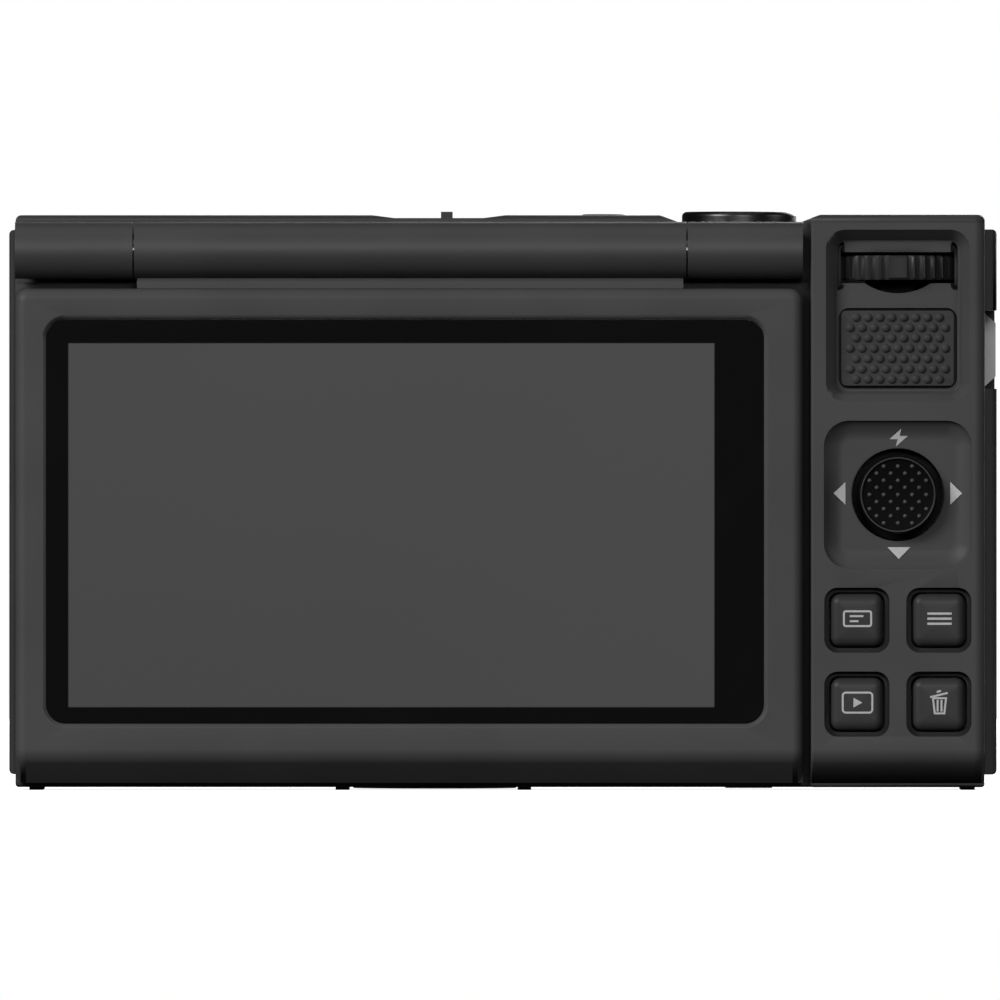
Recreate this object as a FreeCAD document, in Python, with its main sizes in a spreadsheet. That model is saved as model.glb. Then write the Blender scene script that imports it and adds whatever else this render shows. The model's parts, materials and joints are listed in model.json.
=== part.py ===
import FreeCAD, Part
import os
import re
import Sketcher

# A compact flip-screen camera, seen from behind: +X right, +Y towards the lens, +Z up.
# The origin is the middle of the outer box, on the plane that the feet stand on.

SIZES = {
    # outer case
    "body_width": (99.75, "both shells, side to side"),
    "body_depth": (24.0, "front face to rear panel"),
    "body_height": (58.9, "underside to top plate"),
    "foot_drop": (0.3, "feet below the underside"),
    "wall": (1.5, "moulded wall"),
    "bay_wall": (1.9, "wall behind the screen"),
    "rim_height": (0.4, "visible edge of the base plate"),
    "top_rim": (0.85, "visible edge of the top cover"),
    "inner_lip": (1.3, "part of the top cover and base plate inside the walls"),
    "lip_gap": (0.1, "lip to wall"),
    "front_corner": (4.0, "radius of the front corners"),
    "edge_round": (0.6, "radius of the top edge"),
    "base_round": (0.35, "radius of the bottom edge"),
    "front_depth": (10.55, "front shell, seam to front face"),
    "trim_left_proud": (0.7, "left side trim"),
    "trim_right_proud": (1.25, "right side trim"),
    "trim_height": (56.1, "side trims"),
    "trim_low": (1.6, "underside of the side trims"),
    "trim_round": (0.5, "radius of the trim edges"),
    "trim_inset": (1.6, "side trims to the seams of the shells"),
    # control block beside the screen
    "block_width": (17.9, "control panel"),
    "block_wall": (3.2, "control panel thickness"),
    "block_floor": (3.4, "solid foot of the control block"),
    "block_round": (1.1, "radius of its outer edge"),
    "bevel_height": (2.6, "slanted lower edge"),
    "bevel_depth": (3.0, "slanted lower edge"),
    "bevel_round": (1.9, "radius above the slanted edge"),
    # screen
    "screen_gap": (0.8, "screen to control block"),
    "screen_inset": (0.05, "screen to the left face"),
    "screen_lift": (0.45, "screen above the underside"),
    "screen_depth": (5.0, "whole screen"),
    "bay_gap": (0.3, "screen to the wall behind"),
    "bezel_depth": (3.2, "front frame of the screen"),
    "bezel_corner": (1.3, "radius of its top corners"),
    "bezel_round": (1.1, "radius of its edges"),
    "window_left": (3.17, "frame beside the glass"),
    "window_right": (4.02, "frame beside the glass"),
    "window_low": (6.1, "frame below the glass"),
    "window_top": (3.1, "frame above the glass"),
    "window_corner": (2.0, "radius of the glass corners"),
    "window_slope": (0.45, "sloping edge round the glass"),
    "glass_depth": (0.8, "cover glass"),
    "cell_depth": (2.65, "display cell with its backlight"),
    "display_left": (2.3, "glass edge to lit area"),
    "display_right": (5.11, "lit area to glass edge"),
    "display_low": (1.72, "glass edge to lit area"),
    "display_top": (2.53, "lit area to glass edge"),
    "display_margin": (1.2, "cell around the lit area"),
    # hinge
    "hinge_setback": (3.1, "hinge axis in front of the rear panel"),
    "hinge_drop": (3.65, "hinge axis below the top plate"),
    "panel_drop": (3.95, "hinge axis to the top of the screen"),
    "barrel_radius": (2.93, "hinge barrel"),
    "barrel_room": (0.37, "barrel to the body"),
    "knuckle_left": (12.1, "left knuckle"),
    "knuckle_right": (11.85, "right knuckle"),
    "knuckle_gap": (0.15, "knuckle to barrel"),
    "knuckle_foot": (1.7, "half height of the knuckle's foot"),
    "pin_radius": (1.2, "hinge pins"),
    "pin_half": (5.0, "hinge pins each side of the knuckle's face"),
    "running_gap": (0.05, "shaft in its hole"),
    "neck_thickness": (0.75, "web from barrel to screen"),
    "lip_height": (0.75, "lip along the screen's top edge"),
    "lip_depth": (2.3, "lip, front to back"),
    "neck_inset": (0.3, "web ends"),
    # thumb rest and wheel
    "rest_depth": (1.6, "thumb rest recess"),
    "rest_lean": (34.5, "lean of the recess wall, degrees"),
    "rest_top": (0.7, "recess below the shells' top"),
    "rest_foot": (0.3, "radius at the foot of the recess wall"),
    "rest_side": (1.55, "recess to the edges of the panel"),
    "rest_low": (18.4, "recess floor edge below the shells' top"),
    "rest_corner": (2.0, "radius of the recess"),
    "pad_width": (12.2, "rubber pad"),
    "pad_height": (8.3, "rubber pad"),
    "pad_rise": (1.35, "pad above the recess's lower edge"),
    "pad_corner": (1.1, "radius of the pad"),
    "pad_sink": (0.6, "pad below the recess floor"),
    "pad_proud": (0.35, "pad above the recess floor"),
    "wheel_thickness": (2.5, "thumb wheel"),
    "wheel_drop": (4.6, "wheel's middle below the shells' top"),
    "wheel_count": (34, "grooves on the wheel"),
    "wheel_groove": (0.32, "radius of a groove"),
    "wheel_flat": (1.0, "half width of the flat on the rim"),
    "wheel_cut": (0.1, "depth of the flat"),
    "wheel_margin": (0.35, "wheel's opening to the inside walls"),
    "wheel_side": (0.8, "wheel to the sides of its opening"),
    "wheel_room": (0.35, "wheel to its opening"),
    "wheel_bore": (0.85, "radius of the wheel's hole"),
    "scoop_radius": (6.06, "round lower edge of the wheel's opening"),
    "scoop_drop": (1.04, "round lower edge below the wheel"),
    "cheek_depth": (0.9, "hollows at the ends of the wheel"),
    "cheek_low": (2.4, "hollows below the wheel's middle"),
    "cheek_high": (2.9, "hollows above the wheel's middle"),
    "cheek_corner": (0.7, "radius of the hollows"),
    "cheek_lean": (25.0, "lean of their walls, degrees"),
    "cheek_lap": (0.4, "hollows over the ends of the opening"),
    # joystick
    "stick_proud": (0.6, "cap behind the rear panel"),
    "dish_edge": (1.35, "square dish to the sides of the panel"),
    "dish_corner": (2.6, "radius of the dish"),
    "dish_depth": (1.2, "dish"),
    "dish_step": (0.4, "upright rim of the dish"),
    "dish_lean": (62.0, "lean of the dish wall, degrees"),
    "dish_foot": (2.0, "radius at the foot of the dish wall"),
    "stick_height": (30.1, "joystick above the underside"),
    "cap_radius": (4.03, "stick cap"),
    "cap_room": (0.755, "cap to the rim of its hole"),
    "cap_depth": (1.1, "stick cap"),
    "stem_radius": (0.9, "stick stem"),
    "pivot_depth": (3.45, "tilt axes in front of the rear panel"),
    "ring_thickness": (1.0, "tilting rings"),
    "ring_width": (1.05, "outer ring, hole to rim"),
    "ring_room": (0.3, "between the rings"),
    "pivot_radius": (0.3, "tilt pins"),
    "cradle_room": (0.185, "cradle to the hole in the panel"),
    "cradle_wall": (0.7, "cradle"),
    "cradle_gap": (0.35, "outer ring to the cradle"),
    "press_travel": (0.3, "stick press"),
    # keys
    "key_edge": (1.385, "key recess to the side of the panel"),
    "key_rib": (1.73, "between the two columns of recesses"),
    "key_bridge": (1.93, "between the two rows of recesses"),
    "key_corner": (1.4, "radius of the recess"),
    "key_sink": (1.0, "recess depth"),
    "key_room": (0.625, "key cap to its recess"),
    "key_round": (0.45, "soft edge of the key"),
    "key_cap_corner": (1.0, "radius of the key's corners"),
    "key_gap": (0.15, "key to its hole"),
    "key_proud": (0.1, "key face below the panel"),
    "key_row": (8.57, "lower row above the underside"),
    "key_flange": (0.45, "flange around the key's foot"),
    "key_foot": (0.6, "flange thickness"),
    "key_travel": (0.4, "key travel"),
    "board_depth": (0.8, "circuit boards"),
    "board_room": (0.25, "main board to the wall behind"),
    "dome_height": (0.35, "click domes"),
    "dome_radius": (1.8, "click domes"),
    # top controls
    "shutter_x": (24.42, "shutter button from the middle"),
    "shutter_y": (-0.3, "top buttons from the middle"),
    "shutter_radius": (5.9, "shutter button"),
    "shutter_proud": (0.4, "shutter button above the top plate"),
    "shutter_travel": (0.6, "shutter button"),
    "shutter_chamfer": (0.55, "shutter button edge"),
    "power_x": (10.54, "power button from the middle"),
    "power_radius": (2.35, "power button"),
    "power_proud": (0.15, "power button above the top plate"),
    "button_gap": (0.2, "button to its hole"),
    "button_flange": (0.6, "flange under the cover"),
    "flange_thickness": (0.55, "flange under the cover"),
    "flange_room": (0.3, "flange to the cover"),
    "valley_depth": (0.7, "dip around the shutter button"),
    "valley_room": (0.45, "its floor beyond the button"),
    "valley_slope": (1.9, "width of its slopes"),
    "dip_x": (-6.55, "dip around the mode slider"),
    "dip_depth": (0.3, "dip around the mode slider"),
    "dip_half": (4.6, "half width of its floor"),
    "dip_slope": (2.3, "width of its slopes"),
    "slider_x": (-5.75, "mode slider from the middle"),
    "slider_width": (1.2, "mode slider"),
    "slider_length": (3.6, "mode slider"),
    "slider_proud": (0.4, "mode slider above the top plate"),
    "slider_travel": (2.0, "mode slider"),
    "slider_shoe": (1.4, "shoe around the slider's foot"),
    "mic_left": (7.0, "first sound slot from the left face"),
    "mic_length": (3.4, "sound slots"),
    "mic_width": (0.6, "sound slots"),
    "mic_step": (4.1, "between sound slots"),
    "mic_radius": (1.5, "microphone"),
    "mic_height": (1.8, "microphone"),
    # lens
    "lens_x": (-7.0, "lens axis from the middle"),
    "lens_height": (29.45, "lens axis above the underside"),
    "lens_proud": (5.5, "closed lens in front of the front face"),
    "mount_radius": (20.0, "ring around the lens"),
    "mount_proud": (2.95, "ring in front of the front face"),
    "mount_width": (2.25, "ring, bore to rim"),
    "mount_spigot": (0.45, "spigot of the ring in the front face"),
    "tube_step": (0.25, "bore of the ring to the bore of the lens tube"),
    "tube_wall": (2.0, "fixed lens tube"),
    "housing_plate": (1.0, "its rear plate"),
    "sensor_hole": (4.6, "radius of the hole in the rear plate"),
    "outer_gap": (0.3, "outer zoom barrel to the lens tube"),
    "outer_wall": (2.2, "outer zoom barrel"),
    "outer_back": (1.85, "outer barrel behind the lens front"),
    "outer_room": (0.6, "outer barrel to the lens tube's rear plate"),
    "inner_gap": (0.4, "inner zoom barrel to the outer one"),
    "inner_wall": (1.3, "inner zoom barrel"),
    "inner_room": (1.2, "inner barrel to the lens tube's rear plate"),
    "ring_depth": (1.2, "front ring"),
    "blade_room": (0.95, "space for the lens doors"),
    "web_depth": (1.3, "plate behind the lens doors"),
    "front_glass_seat": (1.5, "front lens beyond the opening"),
    "front_glass_depth": (3.0, "front lens"),
    "glass_bulge": (0.9, "front lens"),
    "rear_glass_radius": (6.0, "rear lens"),
    "rear_glass_depth": (1.6, "rear lens"),
    "aperture_share": (0.4135, "opening in the front ring, of the inner barrel's bore"),
    "blade_lap": (0.6, "lens doors beyond the opening"),
    "blade_depth": (0.45, "lens door"),
    "blade_edge": (0.5, "lens door's eye to the inner barrel"),
    "blade_eye": (1.3, "radius around the pivot"),
    "blade_pin": (0.6, "radius of the pivot"),
    "blade_gap": (0.075, "half of the slit between the lens doors"),
    "sensor_width": (9.0, "image sensor"),
    "sensor_height": (7.4, "image sensor"),
    "sensor_depth": (1.4, "image sensor"),
    # front details
    "flash_side": (9.65, "flash beside the thumb wheel"),
    "flash_height": (51.0, "flash and focus lamp above the underside"),
    "flash_width": (13.0, "flash window"),
    "flash_tall": (5.6, "flash window"),
    "flash_back": (5.0, "reflector"),
    "lamp_side": (12.5, "focus lamp beside the flash"),
    "lamp_radius": (2.0, "focus lamp"),
    "capacitor_radius": (4.0, "flash capacitor"),
    "capacitor_length": (26.0, "flash capacitor"),
    "motor_radius": (4.4, "zoom motor"),
    "motor_length": (10.0, "zoom motor"),
    # strap lug and ports
    "lug_middle": (45.35, "strap lug above the feet"),
    "lug_tall": (7.8, "strap lug"),
    "lug_deep": (7.2, "strap lug"),
    "lug_slant": (1.15, "strap lug ends"),
    "lug_slot": (1.7, "strap slots"),
    "lug_bar": (2.0, "bar between the strap slots"),
    "lug_end": (1.2, "lug above and below the slots"),
    "lug_thickness": (0.95, "strap lug"),
    "lug_pocket": (1.0, "pocket behind the lug"),
    "port_low": (14.0, "port cover above the feet"),
    "port_tall": (24.0, "port cover"),
    "port_deep": (7.0, "port cover"),
    "port_gap": (0.15, "port cover to the trim"),
    "usb_tall": (9.0, "charging socket"),
    "usb_wide": (3.3, "charging socket"),
    "hdmi_tall": (6.5, "picture socket"),
    "hdmi_wide": (3.0, "picture socket"),
    "socket_step": (11.0, "between the sockets"),
    "socket_wall": (0.5, "socket shell"),
    "socket_depth": (6.0, "sockets"),
    # underside
    "foot_width": (1.4, "foot rails"),
    "foot_length": (15.0, "foot rails"),
    "foot_a": (-48.05, "first foot rail from the middle"),
    "foot_b": (-16.5, "second foot rail"),
    "foot_c": (2.25, "third foot rail"),
    "foot_d": (47.95, "fourth foot rail"),
    "boss_radius": (8.4, "flat boss around the tripod socket"),
    "boss_height": (0.15, "flat boss"),
    "socket_radius": (4.0, "tripod insert"),
    "socket_flange": (4.6, "radius of the insert's flange"),
    "socket_flange_depth": (0.6, "insert's flange"),
    "socket_length": (6.0, "tripod insert"),
    "thread_radius": (2.6, "inside of the quarter-inch thread"),
    "thread_depth": (5.2, "tripod thread"),
    "tripod_back": (1.4, "tripod socket behind the middle of the inside"),
    "door_lead": (3.25, "battery door's hinge to the battery"),
    "door_length": (21.5, "battery door"),
    "door_edge": (1.15, "battery door to the inside walls"),
    "door_thickness": (1.0, "battery door"),
    "door_gap": (0.15, "door to the base plate"),
    "door_pin": (0.25, "radius of the door's pin"),
    "pin_grip": (0.9, "door pin in the base plate"),
    "latch_from": (12.5, "latch from the door's hinge"),
    "latch_length": (4.8, "latch"),
    "latch_width": (5.0, "latch"),
    "latch_sink": (0.5, "latch in the door"),
    "latch_proud": (0.15, "latch below the door"),
    "latch_travel": (1.6, "latch"),
    "battery_width": (17.0, "battery"),
    "battery_room": (1.25, "battery to the lens tube"),
    "card_room": (1.1, "card socket to the main board"),
    "battery_height": (42.5, "battery"),
    "battery_low": (2.3, "battery above the feet"),
    "contact_height": (1.6, "contact block"),
    "card_width": (11.0, "memory card"),
    "card_height": (15.0, "memory card"),
    "card_thickness": (1.0, "memory card"),
    "card_wall": (0.6, "card socket"),
    "screw_head": (1.1, "radius of the screw heads"),
    "screw_shank": (0.6, "radius of the screws"),
    "screw_sink": (0.5, "screw heads"),
    "screw_edge": (4.6, "screws from the ends of the frame"),
    "frame_thickness": (0.8, "metal frame"),
}

PLACES = {
    "total_width": "trim_left_proud + body_width + trim_right_proud",
    "body_left": "trim_left_proud - total_width / 2",
    "body_right": "body_left + body_width",
    "total_depth": "stick_proud + body_depth + lens_proud",
    "rear_plane": "stick_proud - total_depth / 2",
    "front_plane": "rear_plane + body_depth",
    "lens_front": "front_plane + lens_proud",
    "seam": "front_plane - front_depth",
    "base_low": "foot_drop",
    "top_plane": "base_low + body_height",
    "shell_low": "base_low + rim_height",
    "shell_high": "top_plane - top_rim",
    "lip_low": "shell_high - inner_lip",
    "lip_high": "shell_low + inner_lip",
    "bay_plane": "rear_plane + screen_depth + bay_gap",
    "inside_rear": "bay_plane + bay_wall",
    "inside_front": "front_plane - wall",
    "inside_left": "body_left + wall",
    "inside_right": "body_right - wall",
    "block_left": "body_right - block_width",
    "block_inside": "rear_plane + block_wall",
    "block_middle": "block_left + block_width / 2",
    "trim_high": "trim_low + trim_height",
    "screen_left": "body_left + screen_inset",
    "screen_right": "block_left - screen_gap",
    "screen_low": "base_low + screen_lift",
    "screen_top": "hinge_z - panel_drop",
    "screen_back": "rear_plane + screen_depth",
    "bezel_back": "rear_plane + bezel_depth",
    "glass_left": "screen_left + window_left",
    "glass_right": "screen_right - window_right",
    "glass_low": "screen_low + window_low",
    "glass_top": "screen_top - window_top",
    "glass_face": "rear_plane + window_slope",
    "cell_face": "glass_face + glass_depth",
    "cell_back": "cell_face + cell_depth",
    "lit_left": "glass_left + display_left",
    "lit_right": "glass_right - display_right",
    "lit_low": "glass_low + display_low",
    "lit_top": "glass_top - display_top",
    "hinge_y": "rear_plane + hinge_setback",
    "hinge_z": "top_plane - hinge_drop",
    "trough": "hinge_y + barrel_radius + barrel_room",
    "trough_low": "hinge_z - barrel_radius - barrel_room",
    "barrel_left": "body_left + knuckle_left + knuckle_gap",
    "barrel_right": "screen_right - knuckle_right - knuckle_gap",
    "rest_left": "block_left + rest_side",
    "rest_right": "body_right - rest_side",
    "rest_floor": "rear_plane + rest_depth",
    "rest_bottom": "shell_high - rest_low",
    "pad_low": "rest_bottom + pad_rise",
    "wheel_z": "shell_high - wheel_drop",
    "wheel_window": "block_width - 2 * wall - 2 * wheel_margin",
    "wheel_radius": "wheel_window / 2 - wheel_side",
    "wheel_y": "rear_plane + wheel_radius",
    "wheel_reach": "wheel_thickness / 2 + wheel_room",
    "wheel_slot": "sqrt(block_wall * (2 * wheel_radius - block_wall)) + wheel_room",
    "scoop_tall": "scoop_drop + wheel_reach",
    "stick_x": "block_middle",
    "stick_z": "base_low + stick_height",
    "stick_face": "rear_plane - stick_proud",
    "pivot_y": "rear_plane + pivot_depth",
    "dish_size": "block_width - 2 * dish_edge",
    "dish_floor": "rear_plane + dish_depth",
    "stick_hole": "cap_radius + cap_room",
    "cradle_outer": "stick_hole - cradle_room",
    "cradle_inner": "cradle_outer - cradle_wall",
    "ring_outer": "cradle_inner - cradle_gap",
    "ring_inner": "ring_outer - ring_width",
    "core_radius": "ring_inner - ring_room",
    "key_hole": "(block_width - 2 * key_edge - key_rib) / 2",
    "key_size": "key_hole - 2 * key_room",
    "key_pitch_x": "key_hole + key_rib",
    "key_pitch_z": "key_hole + key_bridge",
    "key_face": "rear_plane + key_proud",
    "key_back": "block_inside + key_gap + key_foot",
    "dome_top": "key_back + key_travel + running_gap",
    "board_face": "dome_top + dome_height",
    "board_back": "board_face + board_depth",
    "flange_top": "lip_low - flange_room",
    "flange_low": "flange_top - flange_thickness",
    "valley_half": "shutter_radius + valley_room",
    "lens_z": "base_low + lens_height",
    "board_front": "inside_rear + board_room + board_depth",
    "housing_back": "board_front + sensor_depth",
    "tube_floor": "housing_back + housing_plate",
    "mount_bore": "mount_radius - mount_width",
    "lens_opening": "mount_bore + mount_spigot",
    "housing_bore": "mount_bore - tube_step",
    "housing_radius": "housing_bore + tube_wall",
    "outer_radius": "housing_bore - outer_gap",
    "outer_bore": "outer_radius - outer_wall",
    "outer_front": "lens_front - outer_back",
    "outer_rear": "tube_floor + outer_room",
    "inner_radius": "outer_bore - inner_gap",
    "inner_bore": "inner_radius - inner_wall",
    "inner_front": "lens_front - ring_depth",
    "inner_rear": "tube_floor + inner_room",
    "aperture_radius": "inner_bore * aperture_share",
    "front_glass_radius": "aperture_radius + front_glass_seat",
    "bulge_radius": "(front_glass_radius ^ 2 + glass_bulge ^ 2) / (2 * glass_bulge)",
    "blade_radius": "aperture_radius + blade_lap",
    "blade_pivot": "inner_bore - blade_eye - blade_edge",
    "blade_rise": "1.5 * blade_eye",
    "web_front": "inner_front - blade_room",
    "web_rear": "web_front - web_depth",
    "blade_low": "web_front + (blade_room - blade_depth) / 2",
    "pivot_x": "lens_x - blade_pivot",
    "flash_x": "block_middle - flash_side",
    "flash_z": "base_low + flash_height",
    "lamp_x": "flash_x - lamp_side",
    "lug_low": "lug_middle - lug_tall / 2",
    "lug_high": "lug_middle + lug_tall / 2",
    "lug_face": "body_right + trim_right_proud",
    "port_middle": "port_low + port_tall / 2",
    "port_y": "seam + wall + usb_wide / 2",
    "trim_left_face": "body_left - trim_left_proud",
    "inside_middle": "(inside_rear + inside_front) / 2",
    "tripod_y": "inside_middle - tripod_back",
    "battery_left": "lens_x + housing_radius + battery_room",
    "battery_front": "board_front + card_room + 2 * card_wall + card_thickness + running_gap",
    "battery_back": "door_back - door_gap",
    "battery_top": "battery_low + battery_height",
    "door_left": "battery_left - door_lead",
    "door_right": "door_left + door_length",
    "door_front": "inside_rear + door_edge",
    "door_back": "inside_front - door_edge",
    "door_z": "base_low + door_thickness / 2",
    "latch_x": "door_left + latch_from",
    "board_low": "base_low - boss_height + socket_length + wall / 2",
}

doc = FreeCAD.newDocument("camera")
sheet = doc.addObject("Spreadsheet::Sheet", "Sizes")
for row, (alias, (number, note)) in enumerate(SIZES.items(), start=1):
    sheet.set(f"A{row}", note)
    sheet.set(f"B{row}", str(number))
    sheet.setAlias(f"B{row}", alias)
doc.recompute()

PLANES = {"x": "YZ_Plane", "y": "XZ_Plane", "z": "XY_Plane"}
TURNS = {
    "x": FreeCAD.Rotation(FreeCAD.Vector(0, 1, 0), 90),
    "y": FreeCAD.Rotation(FreeCAD.Vector(1, 0, 0), -90),
    "z": FreeCAD.Rotation(),
}
SLOP = 0.001


# ---- reading the sheet ----

def full(text):
    """The expression with each size named in the sheet and each place written out."""
    def spell(match):
        word = match.group()
        if word in PLACES:
            return f"({full(PLACES[word])})"
        if word in SIZES:
            return f"Sizes.{word}"
        return word
    return re.sub(r"[a-z_][a-z0-9_]*", spell, str(text))


def value(text):
    """The number that an expression gives now."""
    return float(sheet.evalExpression(full(text)))


# ---- outlines of sketches: each function returns one that draws itself on a sketch ----

def hold(sketch, geometry, position, point):
    """Ties one point of a sketch to a pair of expressions."""
    for kind, text in zip(("DistanceX", "DistanceY"), point):
        rule = Sketcher.Constraint(kind, -1, 1, geometry, position, value(text))
        index = sketch.addConstraint(rule)
        sketch.setExpression(f"Constraints[{index}]", full(text))


def polygon(*points):
    """Straight lines from point to point, closed."""
    def draw(sketch):
        first = sketch.GeometryCount
        count = len(points)
        places = [FreeCAD.Vector(value(across), value(up), 0) for across, up in points]
        for i in range(count):
            sketch.addGeometry(Part.LineSegment(places[i], places[(i + 1) % count]))
        for i in range(count):
            after = first + (i + 1) % count
            sketch.addConstraint(Sketcher.Constraint("Coincident", first + i, 2, after, 1))
            hold(sketch, first + i, 1, points[i])
    return draw


def rectangle(left, right, low, high):
    """A rectangle with sharp corners."""
    return polygon((left, low), (right, low), (right, high), (left, high))


def circle(across, up, radius):
    """A whole circle."""
    def draw(sketch):
        centre = FreeCAD.Vector(value(across), value(up), 0)
        ring = Part.Circle(centre, FreeCAD.Vector(0, 0, 1), value(radius))
        index = sketch.addGeometry(ring)
        hold(sketch, index, 3, (across, up))
        size = sketch.addConstraint(Sketcher.Constraint("Radius", index, value(radius)))
        sketch.setExpression(f"Constraints[{size}]", full(radius))
    return draw


def rounded(left, right, low, high, radius):
    """A rectangle with round corners: four lines joined by tangent arcs."""
    def draw(sketch):
        a, b, c, d, r = (value(text) for text in (left, right, low, high, radius))
        up = FreeCAD.Vector(0, 0, 1)
        first = sketch.GeometryCount
        corners = ((b - r, c + r, 270), (b - r, d - r, 0), (a + r, d - r, 90), (a + r, c + r, 180))
        lines = (((a + r, c), (b - r, c)), ((b, c + r), (b, d - r)),
                 ((b - r, d), (a + r, d)), ((a, d - r), (a, c + r)))
        for (start, end), (x, y, turn) in zip(lines, corners):
            sketch.addGeometry(Part.LineSegment(FreeCAD.Vector(*start), FreeCAD.Vector(*end)))
            ring = Part.Circle(FreeCAD.Vector(x, y), up, r)
            from_angle = FreeCAD.Units.Quantity(f"{turn} deg").getValueAs("rad").Value
            to_angle = FreeCAD.Units.Quantity(f"{turn + 90} deg").getValueAs("rad").Value
            sketch.addGeometry(Part.ArcOfCircle(ring, from_angle, to_angle))
        for side in range(4):
            line = first + 2 * side
            arc = line + 1
            after = first + (2 * side + 2) % 8
            sketch.addConstraint(Sketcher.Constraint("Tangent", line, 2, arc, 1))
            sketch.addConstraint(Sketcher.Constraint("Tangent", arc, 2, after, 1))
            if side:
                sketch.addConstraint(Sketcher.Constraint("Equal", first + 1, arc))
        for kind, offset in (("Horizontal", 0), ("Vertical", 2), ("Horizontal", 4), ("Vertical", 6)):
            sketch.addConstraint(Sketcher.Constraint(kind, first + offset))
        sides = ((0, low), (2, right), (4, high), (6, left))
        for offset, text in sides:
            kind = "DistanceX" if offset in (2, 6) else "DistanceY"
            rule = Sketcher.Constraint(kind, -1, 1, first + offset, 1, value(text))
            sketch.setExpression(f"Constraints[{sketch.addConstraint(rule)}]", full(text))
        size = sketch.addConstraint(Sketcher.Constraint("Radius", first + 1, r))
        sketch.setExpression(f"Constraints[{size}]", full(radius))
    return draw


def bow(middle, half, chord, radius):
    """A straight upper edge, as wide as twice half, over a round lower one."""
    def draw(sketch):
        m, h, c, r = (value(text) for text in (middle, half, chord, radius))
        drop = (r * r - h * h) ** 0.5
        left, right = FreeCAD.Vector(m - h, c), FreeCAD.Vector(m + h, c)
        arc = sketch.addGeometry(Part.Arc(left, FreeCAD.Vector(m, c + drop - r), right))
        line = sketch.addGeometry(Part.LineSegment(right, left))
        sketch.addConstraint(Sketcher.Constraint("Coincident", line, 2, arc, 1))
        sketch.addConstraint(Sketcher.Constraint("Coincident", line, 1, arc, 2))
        hold(sketch, line, 1, (f"{middle} + {half}", chord))
        hold(sketch, line, 2, (f"{middle} - {half}", chord))
        size = sketch.addConstraint(Sketcher.Constraint("Radius", arc, r))
        sketch.setExpression(f"Constraints[{size}]", full(radius))
    return draw


# ---- features of a body ----

def new_body(label):
    """An empty body that becomes one sub-part."""
    return doc.addObject("PartDesign::Body", label)


def sketch_on(body, name, across, at, outlines, centre=("0", "0")):
    """A sketch square to an axis, at a place along it, with its origin moved to centre."""
    sketch = body.newObject("Sketcher::SketchObject", f"{body.Name}_{name}_sketch")
    plane = [item for item in body.Origin.OriginFeatures if item.Role == PLANES[across]][0]
    sketch.AttachmentSupport = (plane, [""])
    sketch.MapMode = "FlatFace"
    sign = "-" if across == "y" else ""
    sketch.setExpression("AttachmentOffset.Base.x", full(centre[0]))
    sketch.setExpression("AttachmentOffset.Base.y", full(centre[1]))
    sketch.setExpression("AttachmentOffset.Base.z", f"{sign}({full(at)})")
    for draw in outlines:
        draw(sketch)
    return sketch


def extrude(body, name, across, low, high, *outlines):
    """Material between two places along an axis."""
    pad = body.newObject("PartDesign::Pad", f"{body.Name}_{name}")
    pad.Profile = sketch_on(body, name, across, low, outlines)
    pad.setExpression("Length", f"({full(high)}) - ({full(low)})")
    pad.Reversed = across == "y"
    return pad


def carve(body, name, across, low, high, *outlines, lean=None):
    """A hole between two places along an axis; lean is the slope of its walls."""
    pocket = body.newObject("PartDesign::Pocket", f"{body.Name}_{name}")
    pocket.Profile = sketch_on(body, name, across, low, outlines)
    pocket.setExpression("Length", f"({full(high)}) - ({full(low)})")
    pocket.Reversed = across != "y"
    if lean:
        pocket.setExpression("TaperAngle", full(lean))
    return pocket


def turn(body, name, across, centre, *outlines):
    """Material swept round an axis; outlines give (along, radius) or (radius, along)."""
    sides = {"y": ("x", (centre[1], centre[2]), centre[0], "H_Axis"),
             "z": ("y", (centre[0], centre[2]), centre[1], "V_Axis")}
    square, origin, at, axis = sides[across]
    spin = body.newObject("PartDesign::Revolution", f"{body.Name}_{name}")
    spin.Profile = sketch_on(body, name, square, at, outlines, centre=origin)
    spin.ReferenceAxis = (spin.Profile[0], [axis])
    spin.Angle = 360
    return spin


def edges_within(shape, x=None, y=None, z=None):
    """Names of the edges that lie wholly inside the given ranges."""
    names = []
    for number, edge in enumerate(shape.Edges, start=1):
        box = edge.BoundBox
        spans = ((x, box.XMin, box.XMax), (y, box.YMin, box.YMax), (z, box.ZMin, box.ZMax))
        inside = all(
            span is None or (value(span[0]) - SLOP <= low and high <= value(span[1]) + SLOP)
            for span, low, high in spans
        )
        if inside:
            names.append(f"Edge{number}")
    return names


def ease(body, kind, name, radius, **ranges):
    """Rounds (Fillet) or bevels (Chamfer) the edges inside the given ranges."""
    doc.recompute()
    last = body.Tip
    names = edges_within(last.Shape, **ranges)
    if not names:
        raise ValueError(f"{body.Name}: no edge for {name}")
    feature = body.newObject(f"PartDesign::{kind}", f"{body.Name}_{name}")
    feature.Base = (last, names)
    feature.setExpression("Radius" if kind == "Fillet" else "Size", full(radius))
    return feature


# ---- plain solids and what is made from them ----

def block(label, x, y, z):
    """A box between pairs of places."""
    box = doc.addObject("Part::Box", label)
    for side, axis, (low, high) in zip(("Length", "Width", "Height"), "xyz", (x, y, z)):
        box.setExpression(side, f"({full(high)}) - ({full(low)})")
        box.setExpression(f"Placement.Base.{axis}", full(low))
    return box


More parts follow.
